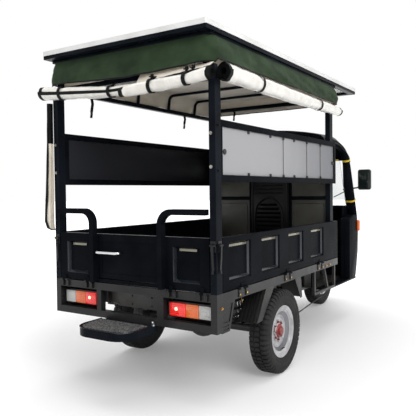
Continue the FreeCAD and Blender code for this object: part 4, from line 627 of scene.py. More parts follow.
    def cloth(self, rows: Rows, thick: float,
              slot_of: Callable[[int, int], int] = lambda row, column: 0,
              looped: bool = False, back: Optional[int] = None) -> None:
        """Give a grid of points a thickness and close its edges.

        Args:
            rows: Rows of points in metres.
            thick: Thickness in millimetres.
            slot_of: Material index from a face's row and column.
            looped: Whether the last column joins the first.
            back: Material index of the other side, or none for the same.
        """
        high, wide = len(rows), len(rows[0])
        last = wide if looped else wide - 1
        total, foot = high * wide, (high - 1) * wide
        fronts, backs = [], []
        for i, row in enumerate(rows):
            above, below = rows[max(i - 1, 0)], rows[min(i + 1, high - 1)]
            for j, place in enumerate(row):
                after = row[(j + 1) % wide if looped else min(j + 1, wide - 1)]
                before = row[j - 1 if looped or j else 0]
                normal = (below[j] - above[j]).cross(after - before).normalized()
                fronts.append(place + normal * (thick * MM / 2))
                backs.append(place - normal * (thick * MM / 2))
        faces: list[tuple[list[int], int]] = []
        for i in range(high - 1):
            for j in range(last):
                k = (j + 1) % wide
                corners = [i * wide + j, i * wide + k, (i + 1) * wide + k, (i + 1) * wide + j]
                front = slot_of(i, j)
                behind = front if front or back is None else back
                faces += [(corners[::-1], front), ([c + total for c in corners], behind)]
        rim = [(j, (j + 1) % wide) for j in range(last)]
        rim += [(foot + b, foot + a) for a, b in rim]
        if not looped:
            rim += [(i + wide, i) for i in range(0, foot, wide)]
            rim += [(i - 1, i - 1 + wide) for i in range(wide, total, wide)]
        edge = slot_of(high - 2, 0)
        faces += [([a, b, b + total, a + total], edge) for a, b in rim]
        start = len(self.points)
        self.points += fronts + backs
        self.faces += [([start + c for c in face], slot, True) for face, slot in faces]


def linked(name: str, data: bpy.types.ID) -> bpy.types.Object:
    """Put a new object into the scene.

    Args:
        name: Its name.
        data: Its mesh, lamp or camera.

    Returns:
        The object.
    """
    obj = bpy.data.objects.new(name, data)
    bpy.context.scene.collection.objects.link(obj)
    return obj


def evaluated(obj: bpy.types.Object) -> bpy.types.Object:
    """The object as its modifiers leave it."""
    return obj.evaluated_get(bpy.context.evaluated_depsgraph_get())


def plain_mesh(name: str, shape: Shape, finishes: Sequence[Finish] = (),
               sharp: float = SHARP) -> bpy.types.Mesh:
    """Turn a shape into a mesh with its normals outward.

    Args:
        name: Name of the mesh.
        shape: Its surfaces.
        finishes: Finish of each material index.
        sharp: Angle in degrees beyond which an edge shows.

    Returns:
        The mesh.
    """
    mesh = bpy.data.meshes.new(name)
    mesh.from_pydata([tuple(p) for p in shape.points], [], [face for face, _, _ in shape.faces])
    for finish in finishes:
        mesh.materials.append(finish.build())
    for polygon, (_, slot, smooth) in zip(mesh.polygons, shape.faces):
        polygon.material_index = slot
        polygon.use_smooth = smooth
    grid = bmesh.new()
    grid.from_mesh(mesh)
    bmesh.ops.recalc_face_normals(grid, faces=grid.faces[:])
    grid.to_mesh(mesh)
    grid.free()
    mesh.set_sharp_from_angle(angle=radians(sharp))
    return mesh


def piece(name: str, shape: Shape, *finishes: Finish, body: Body = Body.CHASSIS,
          sharp: float = SHARP, instead: str = "") -> bpy.types.Object:
    """Turn a shape into one mesh object on its body.

    Args:
        name: Plain name of the piece.
        shape: Its surfaces.
        finishes: Finish of each material index.
        body: Body that it moves with.
        sharp: Angle in degrees beyond which an edge shows.
        instead: Node of the frame that it replaces, if any.

    Returns:
        The new object.
    """
    obj = linked(name, plain_mesh(name, shape, finishes, sharp))
    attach(obj, body.value)
    if instead:
        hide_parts(instead)
    LOG.info("%s: %d faces on %s", name, len(obj.data.polygons), body.value)
    return obj


def rounded_path(corners: Sequence[Vector], bend: float, steps: int = 6) -> list[Vector]:
    """Round the inner corners of a path.

    Args:
        corners: Corner points in metres.
        bend: Distance in millimetres from a corner to where its bend starts.
        steps: Spans in each bend.

    Returns:
        The smoother path.
    """
    path = [corners[0]]
    for before, corner, after in zip(corners, corners[1:], corners[2:]):
        into, away = before - corner, after - corner
        reach = min(bend * MM, into.length * 0.49, away.length * 0.49)
        first = corner + into.normalized() * reach
        last = corner + away.normalized() * reach
        path += [first * (1 - t) ** 2 + corner * 2 * t * (1 - t) + last * t ** 2
                 for t in (k / steps for k in range(steps + 1))]
    path.append(corners[-1])
    return path


def grid_of(high: int, wide: int, place: Callable[[float, float], Vector]
            ) -> list[list[Vector]]:
    """Rows of points from their shares down and along a sheet, both from 0 to 1."""
    return [[place(i / high, j / wide) for j in range(wide + 1)] for i in range(high + 1)]


def measured(rows: Rows, looped: bool = False) -> tuple[float, float]:
    """Flat size of a sheet from the lengths of its rows and columns.

    Args:
        rows: Rows of points in metres.
        looped: Whether the last column joins the first.

    Returns:
        Mean length along a row and along a column.
    """
    def run(line: Sequence[Vector]) -> float:
        """Length of a line of points."""
        return sum((b - a).length for a, b in zip(line, line[1:]))

    across = [run(list(row) + ([row[0]] if looped else [])) for row in rows]
    down = [run(column) for column in zip(*rows)]
    return sum(across) / len(across), sum(down) / len(down)


def soft_sheet(name: str, rows: Rows, thick: float, finishes: Sequence[Finish],
               slot_of: Callable[[int, int], int] = lambda row, column: 0,
               sharp: float = SOFT_SHARP, instead: str = "",
               looped: bool = False, back: Optional[int] = None) -> None:
    """Args:
        name: Plain name of the piece.
        rows: Rows of points in metres.
        thick: Thickness in millimetres.
        finishes: Finish of each material index.
    """
    shape = Shape()
    shape.cloth(rows, thick, slot_of, looped, back)
    obj = piece(name, shape, *finishes, sharp=sharp, instead=instead)
    measured(rows, looped)


# What repeats


class Repeater:
    """Geometry Nodes that set one unit down at many turned places."""

    INPUTS = {"Places": "Geometry", "Unit": "Object", "Finish": "Material", "Spin": "Float",
              "Seed": "Int"}
    SEED = 7

    def __init__(self) -> None:
        """Build the node group once."""
        tree = self.group = bpy.data.node_groups.new("Set_down_units", "GeometryNodeTree")
        socket = tree.interface.new_socket
        self.inputs = {name: socket(name, in_out="INPUT", socket_type="NodeSocket" + kind)
                       for name, kind in self.INPUTS.items()}
        socket("Units", in_out="OUTPUT", socket_type="NodeSocketGeometry")
        source = add_node(tree, "NodeGroupInput").outputs
        turn = output(tree, "GeometryNodeInputNamedAttribute", "Attribute", {"Name": "turn"},
                      data_type="FLOAT_VECTOR")
        rotation = output(tree, "FunctionNodeEulerToRotation", "Rotation", {0: turn})
        unit = output(tree, "GeometryNodeObjectInfo", "Geometry", {"Object": source["Unit"]},
                      transform_space="ORIGINAL")
        placed = output(tree, "GeometryNodeInstanceOnPoints", "Instances",
                        {"Points": source["Places"], "Instance": unit, "Rotation": rotation})
        amount = output(tree, "FunctionNodeRandomValue", 1, {"Seed": source["Seed"]},
                        data_type="FLOAT")
        angle = output(tree, "ShaderNodeMath", "Value", {0: amount, 1: source["Spin"]},
                       operation="MULTIPLY")
        about = output(tree, "ShaderNodeCombineXYZ", "Vector", {"Z": angle})
        spun = output(tree, "GeometryNodeRotateInstances", "Instances",
                      {"Instances": placed, "Rotation": about})
        real = output(tree, "GeometryNodeRealizeInstances", "Geometry", {"Geometry": spun})
        coated = output(tree, "GeometryNodeSetMaterial", "Geometry",
                        {"Geometry": real, "Material": source["Finish"]})
        add_node(tree, "NodeGroupOutput", {0: coated})

    def lay(self, name: str, unit: Shape, places: Sequence[tuple[Vector, Matrix]],
            finish: Finish, body: Body = Body.CHASSIS, spin: float = 0.0) -> None:
        """Set the unit down at each place and keep one plain mesh.

        Args:
            name: Name of the piece.
            unit: Unit built round the origin, its top along +Z.
            places: Point in metres and turn of each unit.
            finish: Its finish.
            body: Body that it moves with.
            spin: Largest random turn about the unit's own Z, in radians.
        """
        stamp = linked(name + "_unit", plain_mesh(name + "_unit", unit))
        dots = bpy.data.meshes.new(name + "_places")
        dots.from_pydata([tuple(p) for p, _ in places], [], [])
        marks = dots.attributes.new("turn", "FLOAT_VECTOR", "POINT")
        for item, (_, turn) in zip(marks.data, places):
            item.vector = turn.to_euler("XYZ")
        holder = linked(name + "_places", dots)
        modifier = holder.modifiers.new("Units", "NODES")
        modifier.node_group = self.group
        values = {"Unit": stamp, "Finish": finish.build(), "Spin": spin, "Seed": self.SEED}
        for key, value in values.items():
            modifier[self.inputs[key].identifier] = value
        mesh = bpy.data.meshes.new_from_object(evaluated(holder))
        mesh.name = name
        for extra in (holder, stamp):
            bpy.data.objects.remove(extra)
        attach(linked(name, mesh), body.value)
        LOG.info("%s: %d units, %d faces on %s", name, len(places), len(mesh.polygons),
                 body.value)


def facing(direction: Vector) -> Matrix:
    """Turn that takes +Z to a level direction and keeps +Y up.

    Args:
        direction: Where the unit's top points.

    Returns:
        A 3 by 3 turn.
    """
    z = direction.normalized()
    x = UP.cross(z).normalized()
    return Matrix((x, z.cross(x), z)).transposed()


OUT_REAR = facing(Vector((-1, 0, 0)))
OUT_SIDE = {side: facing(Vector((0, side, 0))) for side in SIDES}
ORIGIN = (MIDDLE_X, 0.0, 0.0)


def bolt_unit(across: float, height: float, washer: float) -> Shape:
    """Hexagon bolt head on its washer.

    Args:
        across: Width over the corners in millimetres.
        height: Height of the head.
        washer: Washer diameter.

    Returns:
        The unit, its top along +Z.
    """
    shape = Shape()
    base, edge, half = 1.6, washer / 2, across / 2
    shape.turned([(0, -0.6), (edge, -0.6), (edge, base - 0.3), (edge - 0.3, base), (0, base)],
                 ORIGIN, UP, 20)
    shape.turned([(0, base - 0.4), (half, base - 0.4), (half, base + height * 0.8),
                  (half * 0.84, base + height), (0, base + height)], ORIGIN, UP, 6)
    return shape


def dome_unit(width: float, height: float) -> Shape:
    """Domed rivet or button head.

    Args:
        width: Diameter in millimetres.
        height: Height of the dome.

    Returns:
        The unit, its top along +Z.
    """
    half = width / 2
    dome = [(half * cos(a), height * sin(a)) for a in (0, 0.4, 0.8, 1.2)]
    shape = Shape()
    shape.turned([(0, -0.6), (half, -0.6), *dome, (0, height)], ORIGIN, UP, 16)
    return shape


# Canopy


@dataclass
class Roll:
    """One rolled-up curtain with its straps.

    Attributes:
        name: Name of the roll.
        stations: Place along it from 0 to 1, centre, and half width and height.
        straps: Places of its straps from 0 to 1.
        along_x: Whether it lies along the vehicle.
        hang_to: Height of the rail that it hangs from.
        inboard: Distance in millimetres from the roll's centre to that rail.
        seam: Angle in radians above the outward side of its seam, nought for none.
        instead: Node of the frame that it replaces, if any.
        winds: Turns of the rolled sheet.
        wall: Thickness of its outermost layers together.
        binding: Width of the black binding at its ends.
        binding_and_shade_winds: Share of the turns, from the inside, that is black: binding at the
            sheet's inner edge, and past it painted shade inside the roll.
        start_angle: Angle in degrees at which the sheet's free edge lies.
        strap_width: Width of a strap.
        strap_thick: Thickness of a strap.
    """

    name: str
    stations: list[tuple[float, Place, tuple[float, float]]]
    straps: tuple[float, ...]
    along_x: bool = False
    hang_to: float = 1842.0
    inboard: float = 60.0
    seam: float = 0.0
    instead: str = ""
    winds: float = 3.4
    wall: float = 2.4
    binding: float = 30.0
    binding_and_shade_winds: float = 0.66
    start_angle: float = 8.0
    strap_width: float = 24.0
    strap_thick: float = 1.8

    def middle(self, t: float) -> tuple[Vector, float, float]:
        """Centre and half sizes at a place along the roll.

        Args:
            t: From 0 to 1.

        Returns:
            The centre in metres, half width and half height in millimetres.
        """
        for (t0, c0, h0), (t1, c1, h1) in zip(self.stations, self.stations[1:]):
            if t <= t1:
                break
        mix = (t - t0) / (t1 - t0)
        centre = at(*c0).lerp(at(*c1), mix)
        return centre, h0[0] + (h1[0] - h0[0]) * mix, h0[1] + (h1[1] - h0[1]) * mix

    def axes(self) -> tuple[Vector, Vector]:
        """Outward and lengthwise directions."""
        return (-ACROSS, ALONG) if self.along_x else (-ALONG, -ACROSS)

    def around(self, t: float, angle: float, share: float, clear: float) -> Vector:
        """Point on or near the roll's outside.

        Args:
            t: Place along the roll from 0 to 1.
            angle: Angle above its outward side in radians.
            share: Share of its half sizes.
            clear: Distance added to them in millimetres.

        Returns:
            The point in metres.
        """
        centre, wide, high = self.middle(t)
        out, _ = self.axes()
        return centre + (out * cos(angle) * (wide * share + clear)
                         + UP * sin(angle) * (high * share + clear)) * MM

    def build(self) -> None:
        """Make the rolled sheet as a real spiral of one cloth."""
        out, _ = self.axes()
        length = (at(*self.stations[-1][1]) - at(*self.stations[0][1])).length
        columns = max(40, int(length / 0.014))
        spans = int(26 * self.winds)
        seed = len(self.name) * 1.7

        def place(share: float, t: float) -> Vector:
            """Point of the creased sheet, wound from its middle out."""
            layer = 0.42 + 0.58 * share
            angle = radians(self.start_angle) - tau * self.winds * (1 - share)
            cosine, sine, run = cos(angle), sin(angle), t * length
            centre, wide, high = self.middle(t)
            pinch = sum(0.13 * exp(-((t - s) * length / 0.035) ** 2) for s in self.straps)
            crease = abs(ripple(run * 9 + cosine * 0.9, sine * 1.6, seed))
            fine = ripple(run * 34 + sine * 2.2, cosine * 3.0, seed + 9)
            bulge = ripple(run * 3.0, share * 2, seed + 3)
            size = layer * (1 - pinch) + (crease * -0.12 + fine * 0.045 + bulge * 0.04)
            size = min(size, 1.0) * (1.0 if share > 0.5 else 0.97)
            return centre + out * cosine * wide * MM * size + UP * sine * high * MM * size

        edge = max(1, round(self.binding * MM / (length / columns)))

        def slot_of(row: int, column: int) -> int:
            """Binding at both ends and along the seam; black on the inner turns as painted shade
            inside the roll.
            """
            ends = column < edge or column >= columns - edge
            bound = self.seam and row >= spans - 2
            # The inner turns are black: painted shade inside the roll.
            return int(bool(ends or bound) or row < spans * self.binding_and_shade_winds)

        soft_sheet(self.name, grid_of(spans, columns, place), self.wall,
                   (Finishes.VINYL, Finishes.BINDING), slot_of, 60,
                   instead=self.instead)

    def dress(self) -> None:
        """Add the straps that the roll hangs by, and the welt along its seam."""
        out, along = self.axes()
        shape = Shape()
        for t in self.straps:
            centre, _, high = self.middle(t)
            ring = [self.around(t, angle, 0.93, 2) for angle in turns(28)]
            shape.strap(ring, along, self.strap_width, self.strap_thick, looped=True)
            top = centre + UP * (high * 0.9) * MM
            rail = centre - out * self.inboard * MM
            rail.z = self.hang_to * MM
            hold = [top - UP * 0.004, top.lerp(rail, 0.5) + UP * 0.004, rail]
            shape.strap(hold, along, self.strap_width, self.strap_thick)
        if self.seam:
            lifts = [self.seam + 0.05 * ripple(k * 0.3, 1.0, 4.0) for k in range(41)]
            welt = [self.around(k / 40, lift, 0.96, 1.0) for k, lift in enumerate(lifts)]
            shape.strap(welt, UP, 3, 1.4)
        piece(self.name + "_straps", shape, Finishes.BINDING)


ROLLS = (
    Roll("rear_left_roll",
         [(0, (-64, 632, 1821), (44, 45)), (0.23, (-62, 459, 1805), (42, 43)),
          (0.755, (-52, 64, 1776), (38, 36)), (1, (-38, -120, 1782), (28, 29))],
         (0.235, 0.76), seam=0.1, instead="curtain_rolls"),
    Roll("rear_right_roll",
         [(0, (-108, -62, 1751), (30, 30)), (0.152, (-100, -150, 1760), (32, 36)),
          (0.308, (-80, -240, 1768), (36, 40)), (0.697, (-72, -465, 1779), (34, 34)),
          (1, (-66, -640, 1802), (34, 37))], (0.335, 0.725), inboard=75),
    Roll("side_roll",
         [(0, (4, -664, 1813), (45, 54)), (0.494, (880, -658, 1806), (42, 48)),
          (1, (1784, -652, 1812), (38, 38))], (0.225, 0.753), True, 1840, 70),
)


@dataclass
class Canopy:
    """Cloth and clear curtains round the roof over the bed.

    Attributes:
        x0: Rear end of the valance's upper edge.
        x1: Front end of it.
        half: Half its width.
        top: Height of it.
        hem_height: Usual height of the valance's lower edge.
        rear_hem: Distance to the left and height of the sagging hem at the rear.
        hem_flare: How far the lower edge stands out from the upper one.
        corner: Radius of its corners.
        binding: Width of the black tape along the hem.
        rows: Spans down the cloth.
        step: Length of a span along it.
        bows: Distances forward of the roof's bows.
        roof_lengths: Number of top sheets of the roof.
        ribs: Places of a top sheet's ribs as shares of its half width.
    """

    x0: float = -12.0
    x1: float = 1878.0
    half: float = 592.0
    top: float = 2018.0
    hem_height: float = 1884.0
    rear_hem: Outline = ((-640, 1868), (-406, 1856), (-38, 1840), (442, 1866), (640, 1876))
    hem_flare: float = 38.0
    corner: float = 48.0
    binding: float = 8.0
    rows: int = 18
    step: float = 15.0
    bows: tuple[float, ...] = (20, 400, 785, 1170, 1545, 1850)
    roof_lengths: int = 3
    ribs: tuple[float, ...] = (-0.5, 0.0, 0.5)

    def outline(self) -> list[tuple[Vector, Vector]]:
        """Upper edge of the valance and the way it faces.

        Returns:
            Points in metres and outward directions, from the right rear corner.
        """
        corner = self.corner
        bends: list[tuple[Vector, Vector]] = []
        for begin, x, y in ((270, self.x0, -self.half), (180, self.x0, self.half),
                            (90, self.x1, self.half), (0, self.x1, -self.half)):
            cx = x + corner if x == self.x0 else x - corner
            cy = y + corner if y < 0 else y - corner
            for k in range(9):
                angle = radians(begin - 90 * k / 8)
                normal = Vector((cos(angle), sin(angle), 0))
                bends.append((at(cx + corner * normal.x, cy + corner * normal.y, 0), normal))
        even: list[tuple[Vector, Vector]] = []
        for (a, n0), (b, n1) in zip(bends, bends[1:] + bends[:1]):
            spans = max(1, round((b - a).length / (self.step * MM)))
            even += [(a.lerp(b, k / spans), n0.lerp(n1, k / spans).normalized())
                     for k in range(spans)]
        return even

    def hem(self, place: Vector) -> float:
        """Height of the lower edge, which sags between its fixings.

        Args:
            place: Point on the upper edge.

        Returns:
            The height in millimetres.
        """
        x, y = place.x / MM + MIDDLE_X, place.y / MM
        if x >= self.x0 + 30:
            return self.hem_height - 4 * abs(sin(x / 190)) - 1
        for (y0, z0), (y1, z1) in zip(self.rear_hem, self.rear_hem[1:]):
            if y <= y1:
                break
        return z0 + (z1 - z0) * max(0.0, y - y0) / (y1 - y0)

    def valance(self) -> None:
        """Hang the green skirt with its folds and black hem."""
        edge = self.outline()
        rows = []
        for down in (i / self.rows for i in range(self.rows + 1)):
            row = []
            for j, (place, normal) in enumerate(edge):
                run = j * self.step * MM
                ring = tau * j / len(edge)
                fold = ripple(5.5 * cos(ring) + down * 0.8, 5.5 * sin(ring), 1.0) * 14
                diagonal = ripple(run * 6 + down * 2.6, down * 1.2, 5.0) * 12
                crease = -abs(ripple(run * 13 - down * 2.4, down * 2.2, 8.0)) * 12
                swell = (fold + diagonal + crease) * (0.25 + 0.75 * down) * min(1, down * 4 + 0.1)
                belly = 9 * sin(pi * min(1.0, down * 1.1))
                out = self.hem_flare * down + belly + swell
                z = self.top + (self.hem(place) - self.top) * down
                row.append(place + normal * out * MM + UP * (z * MM))
            rows.append(row)
        band = round(self.rows * (1 - self.binding / (self.top - self.hem_height)))
        soft_sheet("valance_cloth", rows, 1.6,
                   (Finishes.LINER, Finishes.BINDING, Finishes.CANVAS),
                   lambda row, column: int(row >= band), instead="valance",
                   looped=True, back=2)

    def ceiling(self) -> None:
        """Stretch the beige liner over the bows, down to the side rails."""
        low, start, length = 1868, 16, 1836
        across = rounded_path(points((0, -572, low), (0, -566, 1940), (0, -520, 1990),
                                     (0, 520, 1990), (0, 566, 1940), (0, 572, low)), 30, 5)
        spans = 92
        rows = []
        for x in (start + length * i / spans for i in range(spans + 1)):
            gap = min(abs(x - bow) for bow in self.bows)
            row = []
            for place in across:
                height = place.z / MM
                loose = min(1.0, max(0.0, (height - low) / 60))
                sag = 0.035 * min(gap, 190) * loose
                crease = 3.0 * ripple(x / 70, place.y * 5, 4.0) * loose
                inward = -copysign(0.02 * gap * loose, place.y) if height < 1985 else 0.0
                row.append(at(x, place.y / MM + inward, height - sag + crease))
            rows.append(row)
        soft_sheet("ceiling_liner", rows, 1.2, (Finishes.LINER,))
        drop = [[at(1855 + 5 * ripple(j / 4, i / 5, 6.0), -530 + 1060 * j / 50, 1992 - 84 * i / 8)
                 for j in range(51)] for i in range(9)]
        soft_sheet("ceiling_front", drop, 1.2, (Finishes.LINER,))

    def fascia(self) -> None:
        """Dark batten under the roof's frame that the valance is laced to."""
        x0, x1, half = self.x0 - 3, self.x1 + 3, self.half + 3
        low, high, thick = 2013, 2030, 10
        shape = Shape()
        for x in (x0, x1 - thick):
            shape.block((x, -half, low), (x + thick, half, high), 2)
        for side in SIDES:
            shape.block((x0, side * half, low), (x1, side * (half - thick), high), 2)
        piece("roof_fascia", shape, Finishes.POST_COAT)

    def roof_sheets(self) -> None:
        """Lay the roof's top sheets with lapped joints and three ribs in each."""
        inset = 6
        low, high = (Vector(corner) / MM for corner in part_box("roof_panel"))
        x0, half, top = low.x + MIDDLE_X + inset, min(-low.y, high.y) - inset, high.z
        length = (high.x + MIDDLE_X - inset - x0) / self.roof_lengths
        shape = Shape()
        for k in range(self.roof_lengths):
            a = x0 + k * length
            shape.block((a, -half, top - 1), (a + length - 3, half, top + 0.8), 0.4)
            for rib in self.ribs:
                ridge = [at(x, rib * half, top + 0.6) for x in (a + 20, a + length - 24)]
                shape.tube(ridge, 5, 10, wide=ACROSS, flat=0.5)
        piece("roof_sheets", shape, Finishes.ROOF_TOP)

    def gathered(self) -> None:
        """Hang the left curtain gathered behind the rear post, piped on both edges."""
        lines = ((1765, 24, 0.7), (1600, 26, 0.75), (1400, 30, 0.85), (1200, 36, 1.0),
                 (1090, 40, 1.12), (1010, 42, 1.18), (968, 34, 0.95), (953, 14, 0.4))

        def place(down: float, s: float) -> Vector:
            """Point of the folded cloth between the heights of its outline."""
            t = down * (len(lines) - 1)
            k = min(int(t), len(lines) - 2)
            z, out, spread = (a + (b - a) * (t - k) for a, b in zip(lines[k], lines[k + 1]))
            wave = sin(tau * 4.5 * s + 0.6 * ripple(s * 4, z / 160, 2.0))
            return at(8 - (2 + 42 * s) * spread,
                      616 + out * (0.5 + 0.42 * wave) + 3 * ripple(s * 6, z / 110, 7.0), z)

        rows = grid_of(72, 72, place)
        soft_sheet("gathered_cloth", rows, 1.4, (Finishes.LINER, Finishes.BINDING),
                   lambda row, column: int(column < 4 or column > 67 or not 14 < row < 70),
                   instead="curtain_gathered")
        cord = Shape()
        for column in (4, 68):
            cord.tube([row[column] + ACROSS * 0.002 for row in rows], 5.0, 8)
        cord.tube(rows[-3][4:69:4], 4.0, 8)
        piece("gathered_piping", cord, Finishes.BINDING)

    def flap(self) -> None:
        """Clear flap edge between the valance and the right rear roll, with its toggles."""
        top = 1863

        def place(down: float, s: float) -> Vector:
            """Point of the flap, shorter towards the right."""
            crease = 5 * ripple(s * 22, down * 2, 3.0) * down
            return at(-14 - 46 * down + crease, -128 - 490 * s,
                      top + (1792 + 42 * s - top) * down + 3 * ripple(s * 14, 1, 6.0))

        soft_sheet("rear_flap", grid_of(8, 60, place), 1.4, (Finishes.LINER, Finishes.BINDING),
                   lambda row, column: int(row > 6))
        toggles = Shape()
        for y, z in ((-237, 1826), (-470, 1838), (-512, 1841)):
            toggles.block((-56, y - 9, z - 14), (-42, y + 9, z + 14), 4)
            toggles.tube(points((-58, y - 14, z), (-58, y + 14, z)), 3.6, 10)
        piece("flap_toggles", toggles, Finishes.BINDING)

    def hanging(self) -> None:
        """Loose straps with their buckles, hung from the left rail and the front corner."""
        straps, buckles = Shape(), Shape()
        across = Vector((0.55, -0.83, 0))
        for x, y, top, low in ((294, 560, 1834, 1740), (1393, 560, 1834, 1766),
                               (1850, 335, 1907, 1862)):
            straps.strap(points((x, y, top), (x + 5, y - 3, top - (top - low) * 0.4),
                                (x - 3, y, low)), across, 19, 2.6)
            buckles.block((x - 12, y - 5, low - 20), (x + 6, y + 5, low + 2), 4)
            straps.strap(points((x - 3, y, low - 16), (x - 6, y + 2, low - 40)), across, 16, 2.6)
        piece("hanging_straps", straps, Finishes.BINDING)
        piece("strap_buckles", buckles, Finishes.MOULDED)

    def build(self) -> None:
        """Make every cloth and clear piece of the canopy, the rolled curtains last."""
        for part in (self.valance, self.ceiling, self.fascia, self.roof_sheets, self.gathered,
                     self.flap, self.hanging):
            part()
        for roll in ROLLS:
            roll.build()
            roll.dress()


# Wheels


@dataclass
class Wheel:
    """Tyre and the fittings of its rim.

    Attributes:
        name: Which wheel.
        body: Body that turns.
        x: Axle's distance forward of the bed's rear face.
        y: Middle of the wheel.
        side: 1 where the disc faces left, -1 where it faces right.
        repeater: Sets units down.
        radius: Height of the axle, with the tyre's tread on the ground.
        blocks: Tread blocks round each shoulder.
        nuts: Nuts round the hub.
        nut_circle: Radius of the circle that they stand on.
    """

    name: str
    body: Body
    x: float
    y: float
    side: int
    repeater: Repeater
    radius: float = 272.5
    blocks: int = 52
    nuts: int = 8
    nut_circle: float = 57.0

    def tyre(self) -> None:
        """Make the tyre's carcass and set its tread blocks round it."""
        flank = [(160, 44), (168, 50), (172, 56), (184, 58.5), (188, 60.4), (192, 59.6),
                 (210, 62), (214, 63.4), (218, 62.4), (232, 62), (246, 60.5), (256, 56),
                 (262, 50), (264.5, 40), (264.5, 24), (263.5, 20), (264.5, 8)]
        carcass = Shape()
        carcass.turned(flank + [(r, -y) for r, y in reversed(flank)],
                       (self.x, self.y, self.radius), ACROSS, 96)
        piece("tyre_%s_rubber" % self.name, carcass, Finishes.RUBBER, body=self.body,
              instead="tyre_" + self.name)
        shoulder = Shape()
        outline = [(23, 263), (23, 271.5), (26, 272.4), (44, 271.6), (52, 268.5), (59.5, 259),
                   (63.2, 246), (63.4, 232), (60, 231), (58, 250), (48, 262)]
        shoulder.prism([Vector((-0.0115, y * MM, r * MM)) for y, r in outline], ALONG * 0.023)
        rib = Shape()
        arrow = [(-0.014, -17), (0.009, -17), (0.014, 0), (0.009, 17), (-0.014, 17), (-0.009, 0)]
        rib.prism([Vector((x, y * MM, 0.2625)) for x, y in arrow], UP * 0.0098)
        centre = at(self.x, self.y, self.radius)
        mirror = Matrix.Rotation(pi, 3, "Z")
        places, ribs = [], []
        for k in range(self.blocks):
            turn, half = (Matrix.Rotation(tau * n / self.blocks, 3, "Y")
                          for n in (k, k + 0.5))
            places += [(centre, turn), (centre, half @ mirror)]
            ribs.append((centre, turn))
        for word, unit, spots in (("blocks", shoulder, places), ("ribs", rib, ribs)):
            self.repeater.lay("tread_%s_%s" % (word, self.name), unit, spots, Finishes.RUBBER,
                              self.body)

    def fittings(self) -> None:
        """Add the rim's rolled rings, a darker ring on its well as painted shade, the red hub and
        nuts, and the valve.
        """
        out = Vector((0, self.side, 0))
        centre = (self.x, self.y, self.radius)
        middle = at(*centre)
        rings, well, hub, valve = (Shape() for _ in range(4))
        for radius, rise, thick in ((147, 42, 5), (131, 36, 3), (98, 16, 5)):
            rings.turned([(radius - thick, rise - 6), (radius - thick, rise - 1),
                          (radius - thick / 2, rise + 3), (radius + thick / 2, rise + 3),
                          (radius + thick, rise - 1), (radius + thick, rise - 6)], centre, out, 72)
        # Thin darker ring on the well's slope: painted shade.
        well.turned([(105, 18.6), (121, 29.6), (129, 36.8), (128.4, 38.4), (120, 31.4),
                     (105, 20.4)], centre, out, 72)
        hub.turned([(0, 12), (53, 12), (53, 17), (48, 18.5), (46, 25), (40, 32), (29, 34),
                    (28, 41), (25, 45), (0, 46)], centre, out)
        stem = middle + Vector((0.02, 0, -0.126)) + out * 0.024
        valve.tube([stem, stem + out * 0.014 + UP * 0.008, stem + out * 0.03 + UP * 0.014],
                   [3.6, 3.4, 2.8])
        piece("rim_rings_" + self.name, rings, Finishes.WHEEL_SILVER, body=self.body)
        piece("rim_well_" + self.name, well, Finishes.WHEEL_WELL_SHADE, body=self.body)
        piece("hub_" + self.name, hub, Finishes.HUB_RED, body=self.body)
        nuts = [(middle + (Vector((cos(a), 0, sin(a))) * self.nut_circle + out * 16)
                 * MM, OUT_SIDE[self.side]) for a in turns(self.nuts)]
        self.repeater.lay("wheel_nuts_" + self.name, bolt_unit(12, 10, 16), nuts,
                          Finishes.HUB_RED, self.body, spin=0.8)
        piece("valve_" + self.name, valve, Finishes.BINDING, body=self.body)

    def build(self) -> None:
        """Make the tyre and dress the rim."""
        self.tyre()
        self.fittings()


# Lamps and fittings


